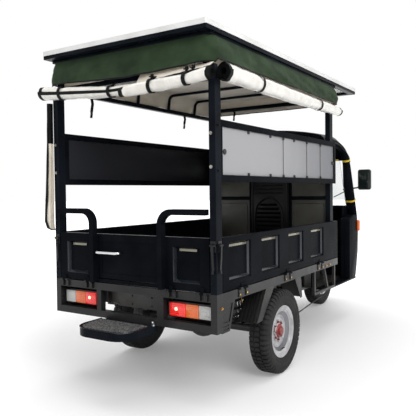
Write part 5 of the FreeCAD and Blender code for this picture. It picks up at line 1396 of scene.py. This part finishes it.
@dataclass
class TailLamp:
    """One rear lamp: housing and its three ribbed lenses.

    Attributes:
        name: Side of the vehicle.
        edges: Sideways edges of clear, amber and red lenses, outermost first.
        repeater: Sets the screws and the bulb's glow down.
        instead: Node of the frame that its housing replaces, if any.
        front_x: The lenses' face.
        back_x: The lenses' back.
        low: The lenses' lower edge.
        high: The lenses' upper edge.
        tray: Lower and upper edges of the tray behind the housing.
        ribs: Ribs across each lens.
    """

    name: str
    edges: tuple[float, float, float, float]
    repeater: Repeater
    instead: str = ""
    front_x: float = 30.0
    back_x: float = 60.0
    low: float = 490.0
    high: float = 566.0
    tray: tuple[float, float] = (446.0, 604.0)
    ribs: int = 6

    def housing(self) -> None:
        """Make the housing, its side lips and the tray that carries it."""
        side = 1 if self.edges[0] > self.edges[-1] else -1
        outer, inner = self.edges[0] + 6 * side, self.edges[-1] - 6 * side
        shape = Shape()
        shape.block((44, outer, self.low - 8), (92, inner, self.high + 8), 6)
        for edge in (outer, inner):
            shape.block((36, edge - 4, self.low - 6), (50, edge + 4, self.high + 6), 2)
        y0, y1 = self.edges[0] + 24 * side, self.edges[-1] - 20 * side
        low, high = self.tray
        shape.block((86, y0, low), (92, y1, high), 1)
        shape.block((40, y0, low), (90, y1, low + 6), 1)
        piece("tail_lamp_housing_" + self.name, shape, Finishes.MOULDED, instead=self.instead)

    def lenses(self) -> None:
        """Make the clear, amber and red lens, each ribbed across."""
        looks = (("clear", Finishes.LENS_CLEAR), ("amber", Finishes.LENS_AMBER),
                 ("red", Finishes.LENS_RED))
        for pair, (word, look) in zip(zip(self.edges, self.edges[1:]), looks):
            a, b = sorted(pair)
            lens = Shape()
            lens.block((self.front_x, a + 0.8, self.low), (self.back_x, b - 0.8, self.high), 5)
            for k in range(self.ribs):
                z = self.low + 11 + k * (self.high - self.low - 22) / (self.ribs - 1)
                lens.tube([at(self.front_x + x, y, z) for x, y in (
                    (0.2, a + 8), (-0.4, (a + b) / 2), (0.2, b - 8))], 2.0, 8)
            piece("tail_lamp_%s_%s" % (word, self.name), lens, look)

    def build(self) -> None:
        """Make the housing and lenses, with the bulb's glow and the screws on them."""
        self.housing()
        self.lenses()
        clear, amber, red, end = self.edges
        glow = [(at(self.front_x - 0.5, (red + end) / 2 + 8, self.low + 42), OUT_REAR)]
        screws = [(at(self.front_x + 1, (clear + amber) / 2, z), OUT_REAR)
                  for z in (self.low + 5, self.high - 5)]
        self.repeater.lay("tail_lamp_bulb_" + self.name, dome_unit(22, 2.5), glow, Finishes.BULB)
        self.repeater.lay("tail_lamp_screws_" + self.name, dome_unit(7, 2), screws,
                          Finishes.ZINC, spin=1.0)


@dataclass
class Seat:
    """Padded bench cushion and backrest of the driver.

    Attributes:
        cushion: Lowest and highest corner of the cushion.
        back: Lowest and highest corner of the backrest.
        lean: How far the backrest's top lies back.
        seams: Distances to the left of the seams across both pads.
        voxel: Size of the cells that a pad is divided into before it is blown up.
        inset: How far inside its corners a pad starts.
        cap: Largest distance that a point of it moves outwards.
        frames: Frames of the simulation.
        pressure: Pressure inside the pad.
    """

    cushion: tuple[Place, Place] = ((1925, -310, 650), (2320, 310, 742))
    back: tuple[Place, Place] = ((1887, -300, 745), (1958, 300, 1105))
    lean: float = 25.0
    seams: tuple[float, float] = (-103.0, 103.0)
    voxel: float = 8.0
    inset: float = 7.0
    cap: float = 11.0
    frames: int = 20
    pressure: float = 4.0

    def swell(self, obj: bpy.types.Object) -> bpy.types.Mesh:
        """Blow a closed pad up with a short cloth simulation under pressure.

        Args:
            obj: The pad as a plain closed form, left as it is.

        Returns:
            The swollen mesh.
        """
        scene = bpy.context.scene
        copy = linked("pad_copy", obj.data.copy())
        remesh = copy.modifiers.new("Voxels", "REMESH")
        remesh.mode = "VOXEL"
        remesh.voxel_size = self.voxel * MM
        mesh = bpy.data.meshes.new_from_object(evaluated(copy))
        copy.modifiers.clear()
        copy.data = mesh
        start = [vert.co.copy() for vert in mesh.vertices]
        cloth = copy.modifiers.new("Cushion", "CLOTH").settings
        cloth.quality = 5
        cloth.use_pressure = True
        cloth.uniform_pressure_force = self.pressure
        cloth.effector_weights.gravity = 0.0
        for frame_number in range(self.frames):
            scene.frame_set(frame_number + 1)
        blown = [vert.co.copy() for vert in evaluated(copy).data.vertices]
        copy.modifiers.clear()
        for vert, old, new in zip(mesh.vertices, start, blown):
            move = new - old
            if move.length > self.cap * MM:
                move *= self.cap * MM / move.length
            vert.co = old + move
        finer = copy.modifiers.new("Finer", "SUBSURF")
        finer.levels = finer.render_levels = 1
        result = bpy.data.meshes.new_from_object(evaluated(copy))
        bpy.data.objects.remove(copy)
        scene.frame_set(1)
        return result

    def pad(self, name: str, low: Place, high: Place, lean: float,
            instead: str = "") -> None:
        """Blow a stitched pad up like foam under leathercloth.

        Args:
            name: Name of the pad.
            low: Lowest corner.
            high: Highest corner.
            lean: How far its top lies back, in millimetres.
            instead: Node of the frame that it replaces, if any.
        """
        shape = Shape()
        inset = self.inset
        shape.block(tuple(v + inset for v in low), tuple(v - inset for v in high), 24)
        obj = piece(name, shape, Finishes.LEATHERCLOTH, sharp=80)
        grid = bmesh.new()
        grid.from_mesh(self.swell(obj))
        size = Vector(h - l for l, h in zip(low, high))
        thin = min(range(3), key=lambda k: size[k])
        for vert in grid.verts:
            place = Vector((vert.co.x / MM + MIDDLE_X, vert.co.y / MM, vert.co.z / MM))
            share = [(place[k] - low[k]) / size[k] for k in range(3)]
            dome = 1.0
            for k in range(3):
                if k != thin:
                    dome *= max(0.0, 1 - (2 * share[k] - 1) ** 4)
            stitch = max(exp(-((place.y - y) / 7) ** 2) for y in self.seams)
            sign = 1 if share[thin] > 0.5 else -0.15
            push = sign * (6 * dome - 8 * stitch * dome)
            push += sign * 2.0 * ripple(place.y / 60, place.z / 60 + place.x / 60, 2.0) * dome
            place[thin] += push
            place.x -= lean * share[2]
            vert.co = at(*place)
        bmesh.ops.recalc_face_normals(grid, faces=grid.faces[:])
        for face in grid.faces:
            face.smooth = True
        grid.to_mesh(obj.data)
        grid.free()
        if instead:
            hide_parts(instead)

    def piping(self) -> None:
        """Sew piping round the cushion's upper edge."""
        (x0, y0, _), (x1, y1, z1) = self.cushion
        x0, y0, x1, y1, z = x0 + 8, y0 + 8, x1 - 8, y1 - 8, z1 - 9
        corners = points((x0, y0, z), (x1, y0, z), (x1, y1, z), (x0, y1, z), (x0, y0, z))
        shape = Shape()
        shape.tube(rounded_path(corners, 26), 3.2, 8)
        piece("seat_piping", shape, Finishes.BINDING)

    def build(self) -> None:
        """Make both pads and the piping."""
        self.pad("seat_cushion", *self.cushion, 0, "driver_seat")
        self.pad("seat_backrest", *self.back, self.lean)
        self.piping()


@dataclass
class Bed:
    """Bolts, tape, painted glints on the recesses' edges, step mat and spring gear of the bed and
    its gates.

    Attributes:
        repeater: Sets the bolts down.
        half: Half the width over the gates.
        hinges: Distances forward of the side gates' hinges.
        recesses: Pressed recesses in each side gate.
        recess_x: Rear edge of the first one.
        recess_step: Distance from one to the next.
        recess_long: Length of one.
        plate: Thickness of the painted glint strips on the recesses' edges.
        gates: Side and body of each side gate.
    """

    repeater: Repeater
    half: float = 612.0
    hinges: tuple[float, ...] = (283, 900, 1484, 1647)
    recesses: int = 4
    recess_x: float = 130.0
    recess_step: float = 391.0
    recess_long: float = 252.0
    plate: float = 0.0008
    gates: tuple[tuple[int, Body], ...] = ((-1, Body.RIGHT_GATE), (1, Body.LEFT_GATE))

    def bolts(self) -> None:
        """Set the hinge bolts, post bolts and frame bolts."""
        lay = self.repeater.lay
        brass = [(at(x + dx, side * (self.half + 0.5), 606), OUT_SIDE[side])
                 for x in self.hinges for side in SIDES for dx in (-41, 41)]
        dark = []
        for y in (-583, 598):
            bright = [(at(-0.5, y, z), OUT_REAR) for z in (1498, 1320)]
            lay("post_bolts_%d" % (y > 0), bolt_unit(11, 5, 19), bright, Finishes.ZINC, spin=1.0)
            dark.append((at(-0.5, y, 700), OUT_REAR))
        for side in SIDES:
            dark += [(at(29, side * self.half, z), OUT_SIDE[side]) for z in (1300, 1540, 1790)]
            brass.append((at(46, side * (self.half + 0.5), 560), OUT_SIDE[side]))
        lay("hinge_bolts", bolt_unit(13, 6, 17), brass, Finishes.PASSIVATED, spin=1.0)
        lay("post_bolts", bolt_unit(12, 6, 18), dark, Finishes.BINDING, spin=1.0)

    def starts(self) -> list[float]:
        """Distances forward of the side gates' pressed recesses."""
        return [self.recess_x + self.recess_step * k for k in range(self.recesses)]

    def tape(self) -> None:
        """Stick cream reflective strips inside the side gates' recesses."""
        for side, body in self.gates:
            shape = Shape()
            for x in self.starts():
                shape.block((x + 17, side * 589.6, 882), (x + 235, side * 591.0, 896), 0.3)
            piece("reflective_tape_" + body.value, shape, Finishes.TAPE, body=body)

    def recess_edges(self) -> None:
        """Lay paler, glossy strips over the drafts of the side gates' recesses as painted glints.
        """
        for side, body in self.gates:
            shape = Shape()
            out, deep = side * 602.0, side * 591.0
            for x0 in self.starts():
                x1 = x0 + self.recess_long
                # Paler, glossy strips on the foot and front drafts: painted glints.
                shape.prism(points((x0 + 8, out, 701), (x1 - 8, out, 701), (x1 - 15, deep, 711),
                                   (x0 + 15, deep, 711)), UP * self.plate)
                shape.prism(points((x1 - 6, out, 702), (x1 - 6, out, 900), (x1 - 13, deep, 897),
                                   (x1 - 13, deep, 713)), -ALONG * self.plate)
            piece("recess_edges_" + body.value, shape, Finishes.GLINT_COAT, body=body)

    def tailgate_recesses(self) -> None:
        """Do the same in the tailgate's two recesses."""
        tape, edges = Shape(), Shape()
        out, deep = -0.6, 21
        for y0, y1 in ((327, 504), (-504, -327)):
            # Paler, glossy strips on the foot and side drafts: painted glints.
            edges.prism(points((out, y0 + 1, 690), (out, y1 - 1, 690), (deep, y1 - 12, 702),
                               (deep, y0 + 12, 702)), UP * self.plate)
            edges.prism(points((out, y1, 692), (out, y1, 886), (deep, y1 - 11, 876),
                               (deep, y1 - 11, 703)), -ACROSS * self.plate)
            tape.block((deep - 0.4, y0 + 30, 862), (deep + 1.2, y1 - 30, 876), 0.3)
        piece("recess_edges_tailgate", edges, Finishes.GLINT_COAT, body=Body.TAILGATE)
        piece("reflective_tape_tailgate", tape, Finishes.TAPE, body=Body.TAILGATE)

    def underside(self) -> None:
        """Hang the spring shackles, their cables and the brake rod below the bed."""
        shackles, cables, rod = Shape(), Shape(), Shape()
        for y in (-430, 430):
            for x in (482, 520, 556, 590):
                shackles.tube(points((x, y, 612), (x - 4, y, 500), (x + 6, y, 404)), 8, 10)
            for z in (412, 452, 500, 548):
                shackles.block((462, y - 14, z), (612, y + 14, z + 9), 2)
            for x, z in ((566, 520), (606, 444)):
                cables.tube(points((x - 8, y - 16, z), (x + 2, y - 18, z - 30),
                                   (x + 14, y - 16, z - 46)), 4, 8)
        rod.tube([at(x, -400, z) for x, z in ((826, 246), (860, 158), (1595, 229), (2066, 274),
                                              (2080, 366))], 5, 10)
        piece("spring_shackles", shackles, Finishes.CHASSIS_ENAMEL)
        piece("brake_cable_ends", cables, Finishes.PASSIVATED)
        piece("brake_rod", rod, Finishes.CHASSIS_ENAMEL)

    def step(self) -> None:
        """Cover the step with its flecked mat, rimmed in the paler, glossy coat as painted
        highlight, and bolt the step down.
        """
        def loop(near: float, far: float, half: float, z: float, bend: float) -> list[Vector]:
            """Outline of the step's rounded tongue from its root and back."""
            return rounded_path(points((near, half, z), (far, half, z), (far, -half, z),
                                       (near, -half, z)), bend, 10)

        mat, rim = Shape(), Shape()
        mat.prism(loop(-44, -248, 178, 430.5, 98), UP * 0.0035)
        piece("step_mat", mat, Finishes.STEP_RUBBER)
        # The rim's paler, glossy coat is a painted highlight.
        rim.tube(loop(-30, -262, 192, 431, 112), 6, 10, flat=0.7)
        piece("step_rim", rim, Finishes.GLINT_COAT)
        self.repeater.lay("step_bolt", bolt_unit(16, 22, 24), [(at(-14, -190, 431), STILL)],
                          Finishes.CHROME)

    def build(self) -> None:
        """Dress the bed."""
        for part in (self.bolts, self.tape, self.recess_edges, self.tailgate_recesses,
                     self.step, self.underside):
            part()


@dataclass
class Panels:
    """Sheets, joints and clips of the upper side panels.

    Attributes:
        seams: Distances forward of the right panel's ends and joints.
        clips: Distances forward of its clips.
        caps: Distances forward of its round caps.
        low: Lower edge of the sheets.
        high: Upper edge.
        y: Outer face of the right panel.
    """

    seams: tuple[float, ...] = (94, 880, 1280, 1545, 1830)
    clips: tuple[float, ...] = (397, 687, 880, 1055, 1280, 1545)
    caps: tuple[float, ...] = (123, 1804)
    low: float = 1279.0
    high: float = 1540.0
    y: float = -590.5

    def build(self) -> None:
        """Add the sheets in their sections, the joints and the clips."""
        y, low, high = self.y, self.low, self.high
        sheets, inner, clips, joints = Shape(), Shape(), Shape(), Shape()
        for a, b in zip(self.seams, self.seams[1:]):
            sheets.block((a + 1, y - 1.5, low), (b - 1, y + 2.0, high), 0.8)
        inner.block((96, 579.5, low + 2), (1806, 584.5, high - 2))
        for x in self.clips:
            for z in (high - 4, low + 4):
                clips.block((x - 11, y - 9, z - 13), (x + 11, y - 1, z + 13), 3)
                clips.block((x - 5, y - 12, z - 5), (x + 5, y - 8, z + 5), 2)
        for x in self.caps:
            clips.turned([(0, 0), (15, 0), (15, 6), (12, 9), (0, 10)], (x, y - 1, 1405),
                         -ACROSS, 24)
        for x in self.seams[1:-1]:
            joints.block((x - 2.5, y - 3.2, low), (x + 2.5, y, high), 0.8)
        piece("side_panel_sheets", sheets, Finishes.PANEL_GREY)
        piece("left_panel_sheet", inner, Finishes.PANEL_DARK)
        piece("side_panel_joints", joints, Finishes.BINDING)
        piece("side_panel_clips", clips, Finishes.MOULDED)


@dataclass
class Bulkhead:
    """Wall between bed and cab: olive sheets, dark rails and a moulded centre panel.

    Attributes:
        x: Rear face of its rails.
        half: Half its width.
        middle: Middle of the moulded panel.
        reach: Half the moulded panel's width.
        foot: Its lower edge.
        top: Its upper edge, behind the side panels.
        louvres: Louvres inside the panel's arch.
        arch: Distance to the left and height along the arch's bead.
    """

    x: float = 1820.0
    half: float = 535.0
    middle: float = -28.0
    reach: float = 178.0
    foot: float = 640.0
    top: float = 1300.0
    louvres: int = 8
    arch: Outline = ((115, 780), (115, 962), (98, 1062), (8, 1134), (-70, 1130), (-132, 1062),
                     (-149, 962), (-149, 780), (115, 780))

    def wall(self) -> None:
        """Make the sheets with their shallow pressed borders, and the rails."""
        sheet, rails = Shape(), Shape()
        x, foot, top, half = self.x, self.foot, self.top, self.half
        left, right = self.middle + self.reach, self.middle - self.reach
        sheet.block((x + 12, -half, foot), (x + 16, half, top), 1)
        for z0, z1 in ((1112, 1142), (top - 22, top)):
            rails.block((x, -half, z0), (x + 30, half, z1), 3)
        for y0, y1 in ((left, left + 22), (right - 22, right)):
            rails.block((x + 1, y0, foot), (x + 29, y1, top), 3)
        for y0, y1 in ((left + 50, half - 24), (-half + 24, right - 50)):
            border = rounded_path(upright_loop(x + 11, y0, y1, 672, 1082), 24)
            sheet.tube(border, 3.5, 8, flat=0.5)
        piece("bulkhead_sheets", sheet, Finishes.BULKHEAD, instead="bulkhead")
        piece("bulkhead_rails", rails, Finishes.POWDER_COAT)

    def moulding(self) -> None:
        """Make the moulded panel with its arch, louvres and side ribs."""
        shape = Shape()
        x, top = self.x - 12, self.top
        right, left = self.middle - self.reach, self.middle + self.reach
        shape.block((x + 4, right, 700), (x + 13, left, top - 4), 4)
        arch = rounded_path([at(x + 2, y, z) for y, z in self.arch], 40)
        shape.tube(arch, 9, 10, wide=ACROSS, flat=0.8)
        for y in (right + 14, left - 14):
            shape.tube(points((x + 4, y, 712), (x + 4, y, top - 16)), 7, 10)
        for z in (1172, 1206, 1238):
            shape.tube([at(x + 4, self.middle + y, z) for y in (-130, 130)], 5, 10)
        tilt = Matrix.Rotation(radians(-24), 3, "Y")
        for z in (812 + k * 36 for k in range(self.louvres)):
            inset = max(0.0, (z - 1000) * 0.55)
            shape.block((x - 1, -132 + inset, z - 4), (x + 3, 98 - inset, z + 18), 2, tilt)
        # Its finish is darker than the other black moulding: painted shade deep in the bed.
        piece("bulkhead_panel", shape, Finishes.MOULDED_SHADED, instead="bulkhead_moulding")

    def build(self) -> None:
        """Make the wall and its moulded panel."""
        self.wall()
        self.moulding()


@dataclass
class Cab:
    """Roof skin, pillar covers, side cowls, glass, lamps and mirrors of the open cab.

    Attributes:
        half: Half the width over the side cowls.
        pillar_y: Middle of each pillar cover.
        bar: Radius of the cross bars.
        roof_line: Distance forward and height along the roof's spine.
        pillar_line: Distance forward and height along a pillar and its roof rail.
        cowl_line: Outline of a cowl seen from the side.
        rear_post: Distance forward of the cab's rear posts.
        glass_half: Half the width of the windscreen.
        glass_foot: Height of its lower edge.
        glass_high: Height from there to its upper edge.
        mirror: Nearest and furthest edge of a mirror, and its lower and upper edge.
        lamp: Middle of the headlamp's face.
    """

    half: float = 520.0
    pillar_y: float = 474.0
    bar: float = 15.0
    roof_line: Outline = ((1852, 1704), (2000, 1712), (2120, 1710), (2220, 1696),
                          (2320, 1660), (2400, 1606), (2452, 1540), (2478, 1476))
    pillar_line: Outline = ((2604, 400), (2680, 620), (2684, 925), (2577, 1189),
                            (2464, 1462), (2350, 1556), (2150, 1606), (1905, 1612))
    cowl_line: Outline = ((2452, 372), (2621, 366), (2652, 430), (2692, 610), (2702, 790),
                          (2692, 935), (2640, 962), (2560, 955), (2452, 925))
    rear_post: float = 1866.0
    glass_half: float = 434.0
    glass_foot: float = 1034.0
    glass_high: float = 432.0
    mirror: tuple[float, float, float, float] = (572.0, 678.0, 1198.0, 1368.0)
    lamp: Place = (2898, 0, 776)

    def roof(self) -> None:
        """Crown the moulded roof skin from its rear edge to the brow over the glass."""
        shoulder = 0.923  # share of the half width where the roof turns down
        rows = []
        for place in rounded_path([at(x, 0, z) for x, z in self.roof_line], 40, 4):
            ease = min(1.0, max(0.25, (place.z / MM - 1440) / 230))
            row = []
            for share in (j / 24 - 1 for j in range(49)):
                t = abs(share)
                drop = (62 * (t / shoulder) ** 2
                        + 52 * max(0.0, (t - shoulder) / (1 - shoulder)) ** 1.5)
                row.append(place + Vector((0, share * self.half * MM, -drop * ease * MM)))
            rows.append(row)
        shape = Shape()
        shape.cloth(rows, 7)
        piece("cab_roof_skin", shape, Finishes.POST_COAT, sharp=50, instead="cab_roof")

    def pillar_covers(self) -> None:
        """Cover each windscreen pillar and roof rail with a thick moulded tube."""
        shape, bands = Shape(), Shape()
        for side in SIDES:
            line = [at(x, side * self.pillar_y, z) for x, z in self.pillar_line]
            path = rounded_path(line, 80, 7)
            widths = []
            for place in path:
                thin = 12 * min(1.0, max(0.0, (place.z / MM - 1250) / 200))
                place.y += side * thin * MM
                widths.append(46 - thin)
            shape.tube(path, widths, 20, wide=ACROSS, flat=0.62)
            for x, z, out in ((2464, 1462, 36.5), (2619, 1093, 48.5)):
                middle = self.pillar_y + 48.5 - out
                ring = [at(x + 31 * sin(a), side * middle + out * cos(a),
                           z + 13 * sin(a)) for a in turns(28)]
                bands.strap(ring, Vector((-0.38, 0, 0.92)), 17, 2.2, looped=True)
        bands.strap(points((2422, -428, 1462), (2428, 0, 1464), (2422, 428, 1462)), UP, 15, 2.0)
        for bar in (((2440, -462, 1472), (2446, 0, 1474), (2440, 462, 1472)),
                    ((2613, -462, 1030), (2650, -260, 1030), (2672, 0, 1030),
                     (2650, 260, 1030), (2613, 462, 1030)),
                    ((self.rear_post, -462, 1598), (self.rear_post, 0, 1602),
                     (self.rear_post, 462, 1598))):
            shape.tube(points(*bar), self.bar, 14)
        for y in (-404, 404):
            shape.tube(points((self.rear_post, y, 1600), (self.rear_post, y, 376)), 20, 16)
            shape.tube(points((self.rear_post, y, 1598), (1905, y * 440 / 404, 1606)), 20, 16)
        piece("pillar_covers", shape, Finishes.POWDER_COAT, sharp=60, instead="cab_frame")
        piece("pillar_bands", bands, Finishes.YELLOW)

    def cowls(self) -> None:
        """Close each side of the nose with a moulded cowl, sill and turn lamp."""
        cowls, lamps = Shape(), Shape()
        for side in SIDES:
            face = side * self.half
            cowls.moulded(self.cowl_line, side * 430, face, 12)
            cowls.moulded(((2448, 378), (2466, 378), (2466, 918), (2448, 906)), side * 470,
                          face + side * 3, 5)
            cowls.block((1874, side * 428, 361), (2630, face, 377), 4)
            lamps.block((2676, face - side * 12, 800), (2716, face + side * 16, 904), 7)
            for x in (2682, 2692, 2702):
                lamps.block((x, face + side * 15, 810), (x + 6, face + side * 18, 894), 1.2)
        piece("cab_side_cowls", cowls, Finishes.POWDER_COAT)
        piece("turn_lamp_lenses", lamps, Finishes.LENS_AMBER)

    def glass(self) -> None:
        """Bow the windscreen between the pillar covers."""
        def place(up: float, across: float) -> Vector:
            """Point of the leaning glass, bowed most at its foot."""
            z = self.glass_foot + self.glass_high * up
            y = (2 * across - 1) * self.glass_half
            bulge = (58 - 46 * up) * (1 - (y / self.glass_half) ** 2)
            return at(2613 - (z - 1030) * 173 / 445 + bulge, y, z)

        shape = Shape()
        shape.cloth(grid_of(24, 48, place), 5)
        piece("windscreen_glass", shape, Finishes.GLASS, sharp=50, instead="windscreen")

    def pillar_rod(self) -> None:
        """Fit the thin control rod that runs behind the right pillar."""
        shape = Shape()
        shape.tube(points((2575, -436, 1176), (2430, -432, 1150), (2310, -424, 1128)),
                   [5, 4.5, 4], 10)
        piece("pillar_rod", shape, Finishes.BINDING)

    def mirrors(self) -> None:
        """Set silvered glass with its rim into the back of each mirror head."""
        near, far, low, high = self.mirror
        for side, word in zip(SIDES, ("right", "left")):
            glass, rim = Shape(), Shape()
            glass.block((2551, side * near, low), (2556, side * far, high), 2)
            y0, y1 = sorted((side * near, side * far))
            corners = upright_loop(2552, y0 - 1, y1 + 1, low - 2, high + 3)
            rim.tube(rounded_path(corners, 20), 3.4, 8)
            piece("mirror_glass_" + word, glass, Finishes.MIRROR_GLASS)
            piece("mirror_rim_" + word, rim, Finishes.MOULDED)

    def headlamp(self) -> None:
        """Give the headlamp its rim and lens, tipped up a little."""
        axis = Vector((1, 0, 0.1))
        rim, lens = Shape(), Shape()
        rim.turned([(72, -22), (84, -22), (86, -6), (82, 3), (76, 4), (73, -2)], self.lamp, axis)
        lens.turned([(0, 9), (30, 8), (55, 4), (75, -3), (75, -8), (0, -8)], self.lamp, axis)
        piece("headlamp_rim", rim, Finishes.CHROME)
        piece("headlamp_lens", lens, Finishes.LENS_CLEAR)

    def build(self) -> None:
        """Dress the cab."""
        for part in (self.roof, self.pillar_covers, self.glass, self.cowls, self.pillar_rod,
                     self.mirrors, self.headlamp):
            part()


# Studio


@dataclass
class Studio:
    """Pale floor, soft light and the camera of the photograph.

    Attributes:
        camera_place: Camera position in millimetres from the bed's rear face.
        yaw: Direction of view in plan, in degrees from forward.
        pitch: Tilt of the view above the horizon, in degrees.
        roll: Turn of the picture, in degrees.
        focal_px: Focal length in pixels of the picture.
        picture_px: Width of the picture.
        sensor_mm: Width of the sensor that it is given.
        ambient: Strength of the world's light where it isn't seen.
        floor_reach: Distance from the middle to the floor's edge, in metres.
        lamps: Name, place, side in metres and power in watts of each lamp.
    """

    camera_place: Place = (-2447.0, -2132.0, 1189.0)
    yaw: float = 32.69
    pitch: float = -1.71
    roll: float = -0.66
    focal_px: float = 548.1
    picture_px: float = 416.0
    sensor_mm: float = 36.0
    ambient: float = 0.62
    floor_reach: float = 60.0
    lamps: tuple[tuple[str, Place, float, float], ...] = (
        ("Key", (-4.5, -5.5, 5.0), 4.0, 260), ("Top", (0, 0, 6.5), 6.0, 220))

    def camera(self) -> None:
        """Place the camera from its fitted angles."""
        yaw, pitch, roll = (radians(a) for a in (self.yaw, self.pitch, self.roll))
        forward = Vector((cos(pitch) * cos(yaw), cos(pitch) * sin(yaw),
                          sin(pitch)))
        right = Vector((sin(yaw), -cos(yaw), 0))
        up = right.cross(forward)
        right, up = (right * cos(roll) + up * sin(roll),
                     up * cos(roll) - right * sin(roll))
        data = bpy.data.cameras.new("Camera")
        data.sensor_width = self.sensor_mm
        data.lens = self.focal_px * self.sensor_mm / self.picture_px
        data.clip_end = 200
        camera = linked("Camera", data)
        turned = Matrix((right, up, -forward)).transposed().to_4x4()
        camera.matrix_world = Matrix.Translation(at(*self.camera_place)) @ turned
        bpy.context.scene.camera = camera

    def light(self) -> None:
        """Hang the soft square lamps, all facing the vehicle's middle."""
        for name, place, size, power in self.lamps:
            data = bpy.data.lights.new(name, "AREA")
            data.size = size
            data.energy = power
            lamp = linked(name, data)
            lamp.location = place
            aim = Vector((0, 0, 0.9)) - Vector(place)
            lamp.rotation_euler = aim.to_track_quat("-Z", "Y").to_euler()

    def seen(self, tree: Tree) -> Socket:
        """One where the camera, a reflection or glass shows the surface, else nought.

        Args:
            tree: Tree that asks.

        Returns:
            The value's socket.
        """
        path = add_node(tree, "ShaderNodeLightPath").outputs
        mirrored = output(tree, "ShaderNodeMath", "Value",
                          {0: path["Is Glossy Ray"], 1: path["Is Transmission Ray"]},
                          operation="MAXIMUM")
        return output(tree, "ShaderNodeMath", "Value",
                      {0: path["Is Camera Ray"], 1: mirrored}, operation="MAXIMUM")

    def world(self) -> None:
        """White world that lights softly and shows white where seen or reflected."""
        world = bpy.data.worlds.new("Studio_world")
        bpy.context.scene.world = world
        world.use_nodes = True
        tree = world.node_tree
        strength = output(tree, "ShaderNodeMapRange", "Result",
                          {"Value": self.seen(tree), "To Min": self.ambient, "To Max": 1.0})
        feed(tree, tree.nodes["Background"], {"Color": (1, 1, 1, 1), "Strength": strength})

    def floor(self) -> None:
        """Pale floor that keeps the shadow and runs out to white."""
        mesh = bpy.data.meshes.new("Floor")
        reach = self.floor_reach
        mesh.from_pydata([(-reach, -reach, 0), (reach, -reach, 0), (reach, reach, 0),
                          (-reach, reach, 0)], [], [(0, 1, 2, 3)])
        material = bpy.data.materials.new("Studio_floor")
        material.use_nodes = True
        tree = material.node_tree
        point = output(tree, "ShaderNodeTexCoord", "Object")
        away = output(tree, "ShaderNodeVectorMath", "Value", {0: point}, operation="LENGTH")
        fade = output(tree, "ShaderNodeMapRange", "Result",
                      {"Value": away, "From Min": 1.6, "From Max": 6.0, "To Min": 0.2,
                       "To Max": 0.95})
        glow = output(tree, "ShaderNodeMath", "Value", {0: self.seen(tree), 1: fade},
                      operation="MULTIPLY")
        feed(tree, tree.nodes["Principled BSDF"],
             {"Base Color": (0.82, 0.82, 0.82, 1), "Roughness": 0.8, "Specular IOR Level": 0.2,
              "Emission Color": (1, 1, 1, 1), "Emission Strength": glow})
        mesh.materials.append(material)
        linked("Floor", mesh)

    def build(self) -> None:
        """Make the whole studio."""
        self.camera()
        self.world()
        self.floor()
        self.light()
        bpy.context.scene.view_settings.view_transform = "Standard"


def dress_frame() -> None:
    """Give every carried-over node its finish."""
    for finish, names in NODES_OF_FINISH:
        for name in names.split():
            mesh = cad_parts[name].data
            mesh.materials.clear()
            mesh.materials.append(finish.build())
            for face in mesh.polygons:
                face.material_index = 0


def main() -> None:
    """Build the studio, dress the frame and add every piece."""
    logging.basicConfig(level=logging.INFO, format="%(message)s")
    Studio().build()
    dress_frame()
    repeater = Repeater()
    for part in (Canopy(),
                 Wheel("rear_left", Body.REAR_WHEEL_LEFT, 803, 565, 1, repeater),
                 Wheel("rear_right", Body.REAR_WHEEL_RIGHT, 803, -565, -1, repeater),
                 Wheel("front", Body.FRONT_WHEEL, 3001, 0, 1, repeater),
                 TailLamp("left", (557, 472, 386, 297), repeater, "tail_lamps"),
                 TailLamp("right", (-557, -472, -386, -273), repeater),
                 Seat(), Bed(repeater), Panels(), Bulkhead(), Cab()):
        part.build()


if __name__ == "__main__":
    main()
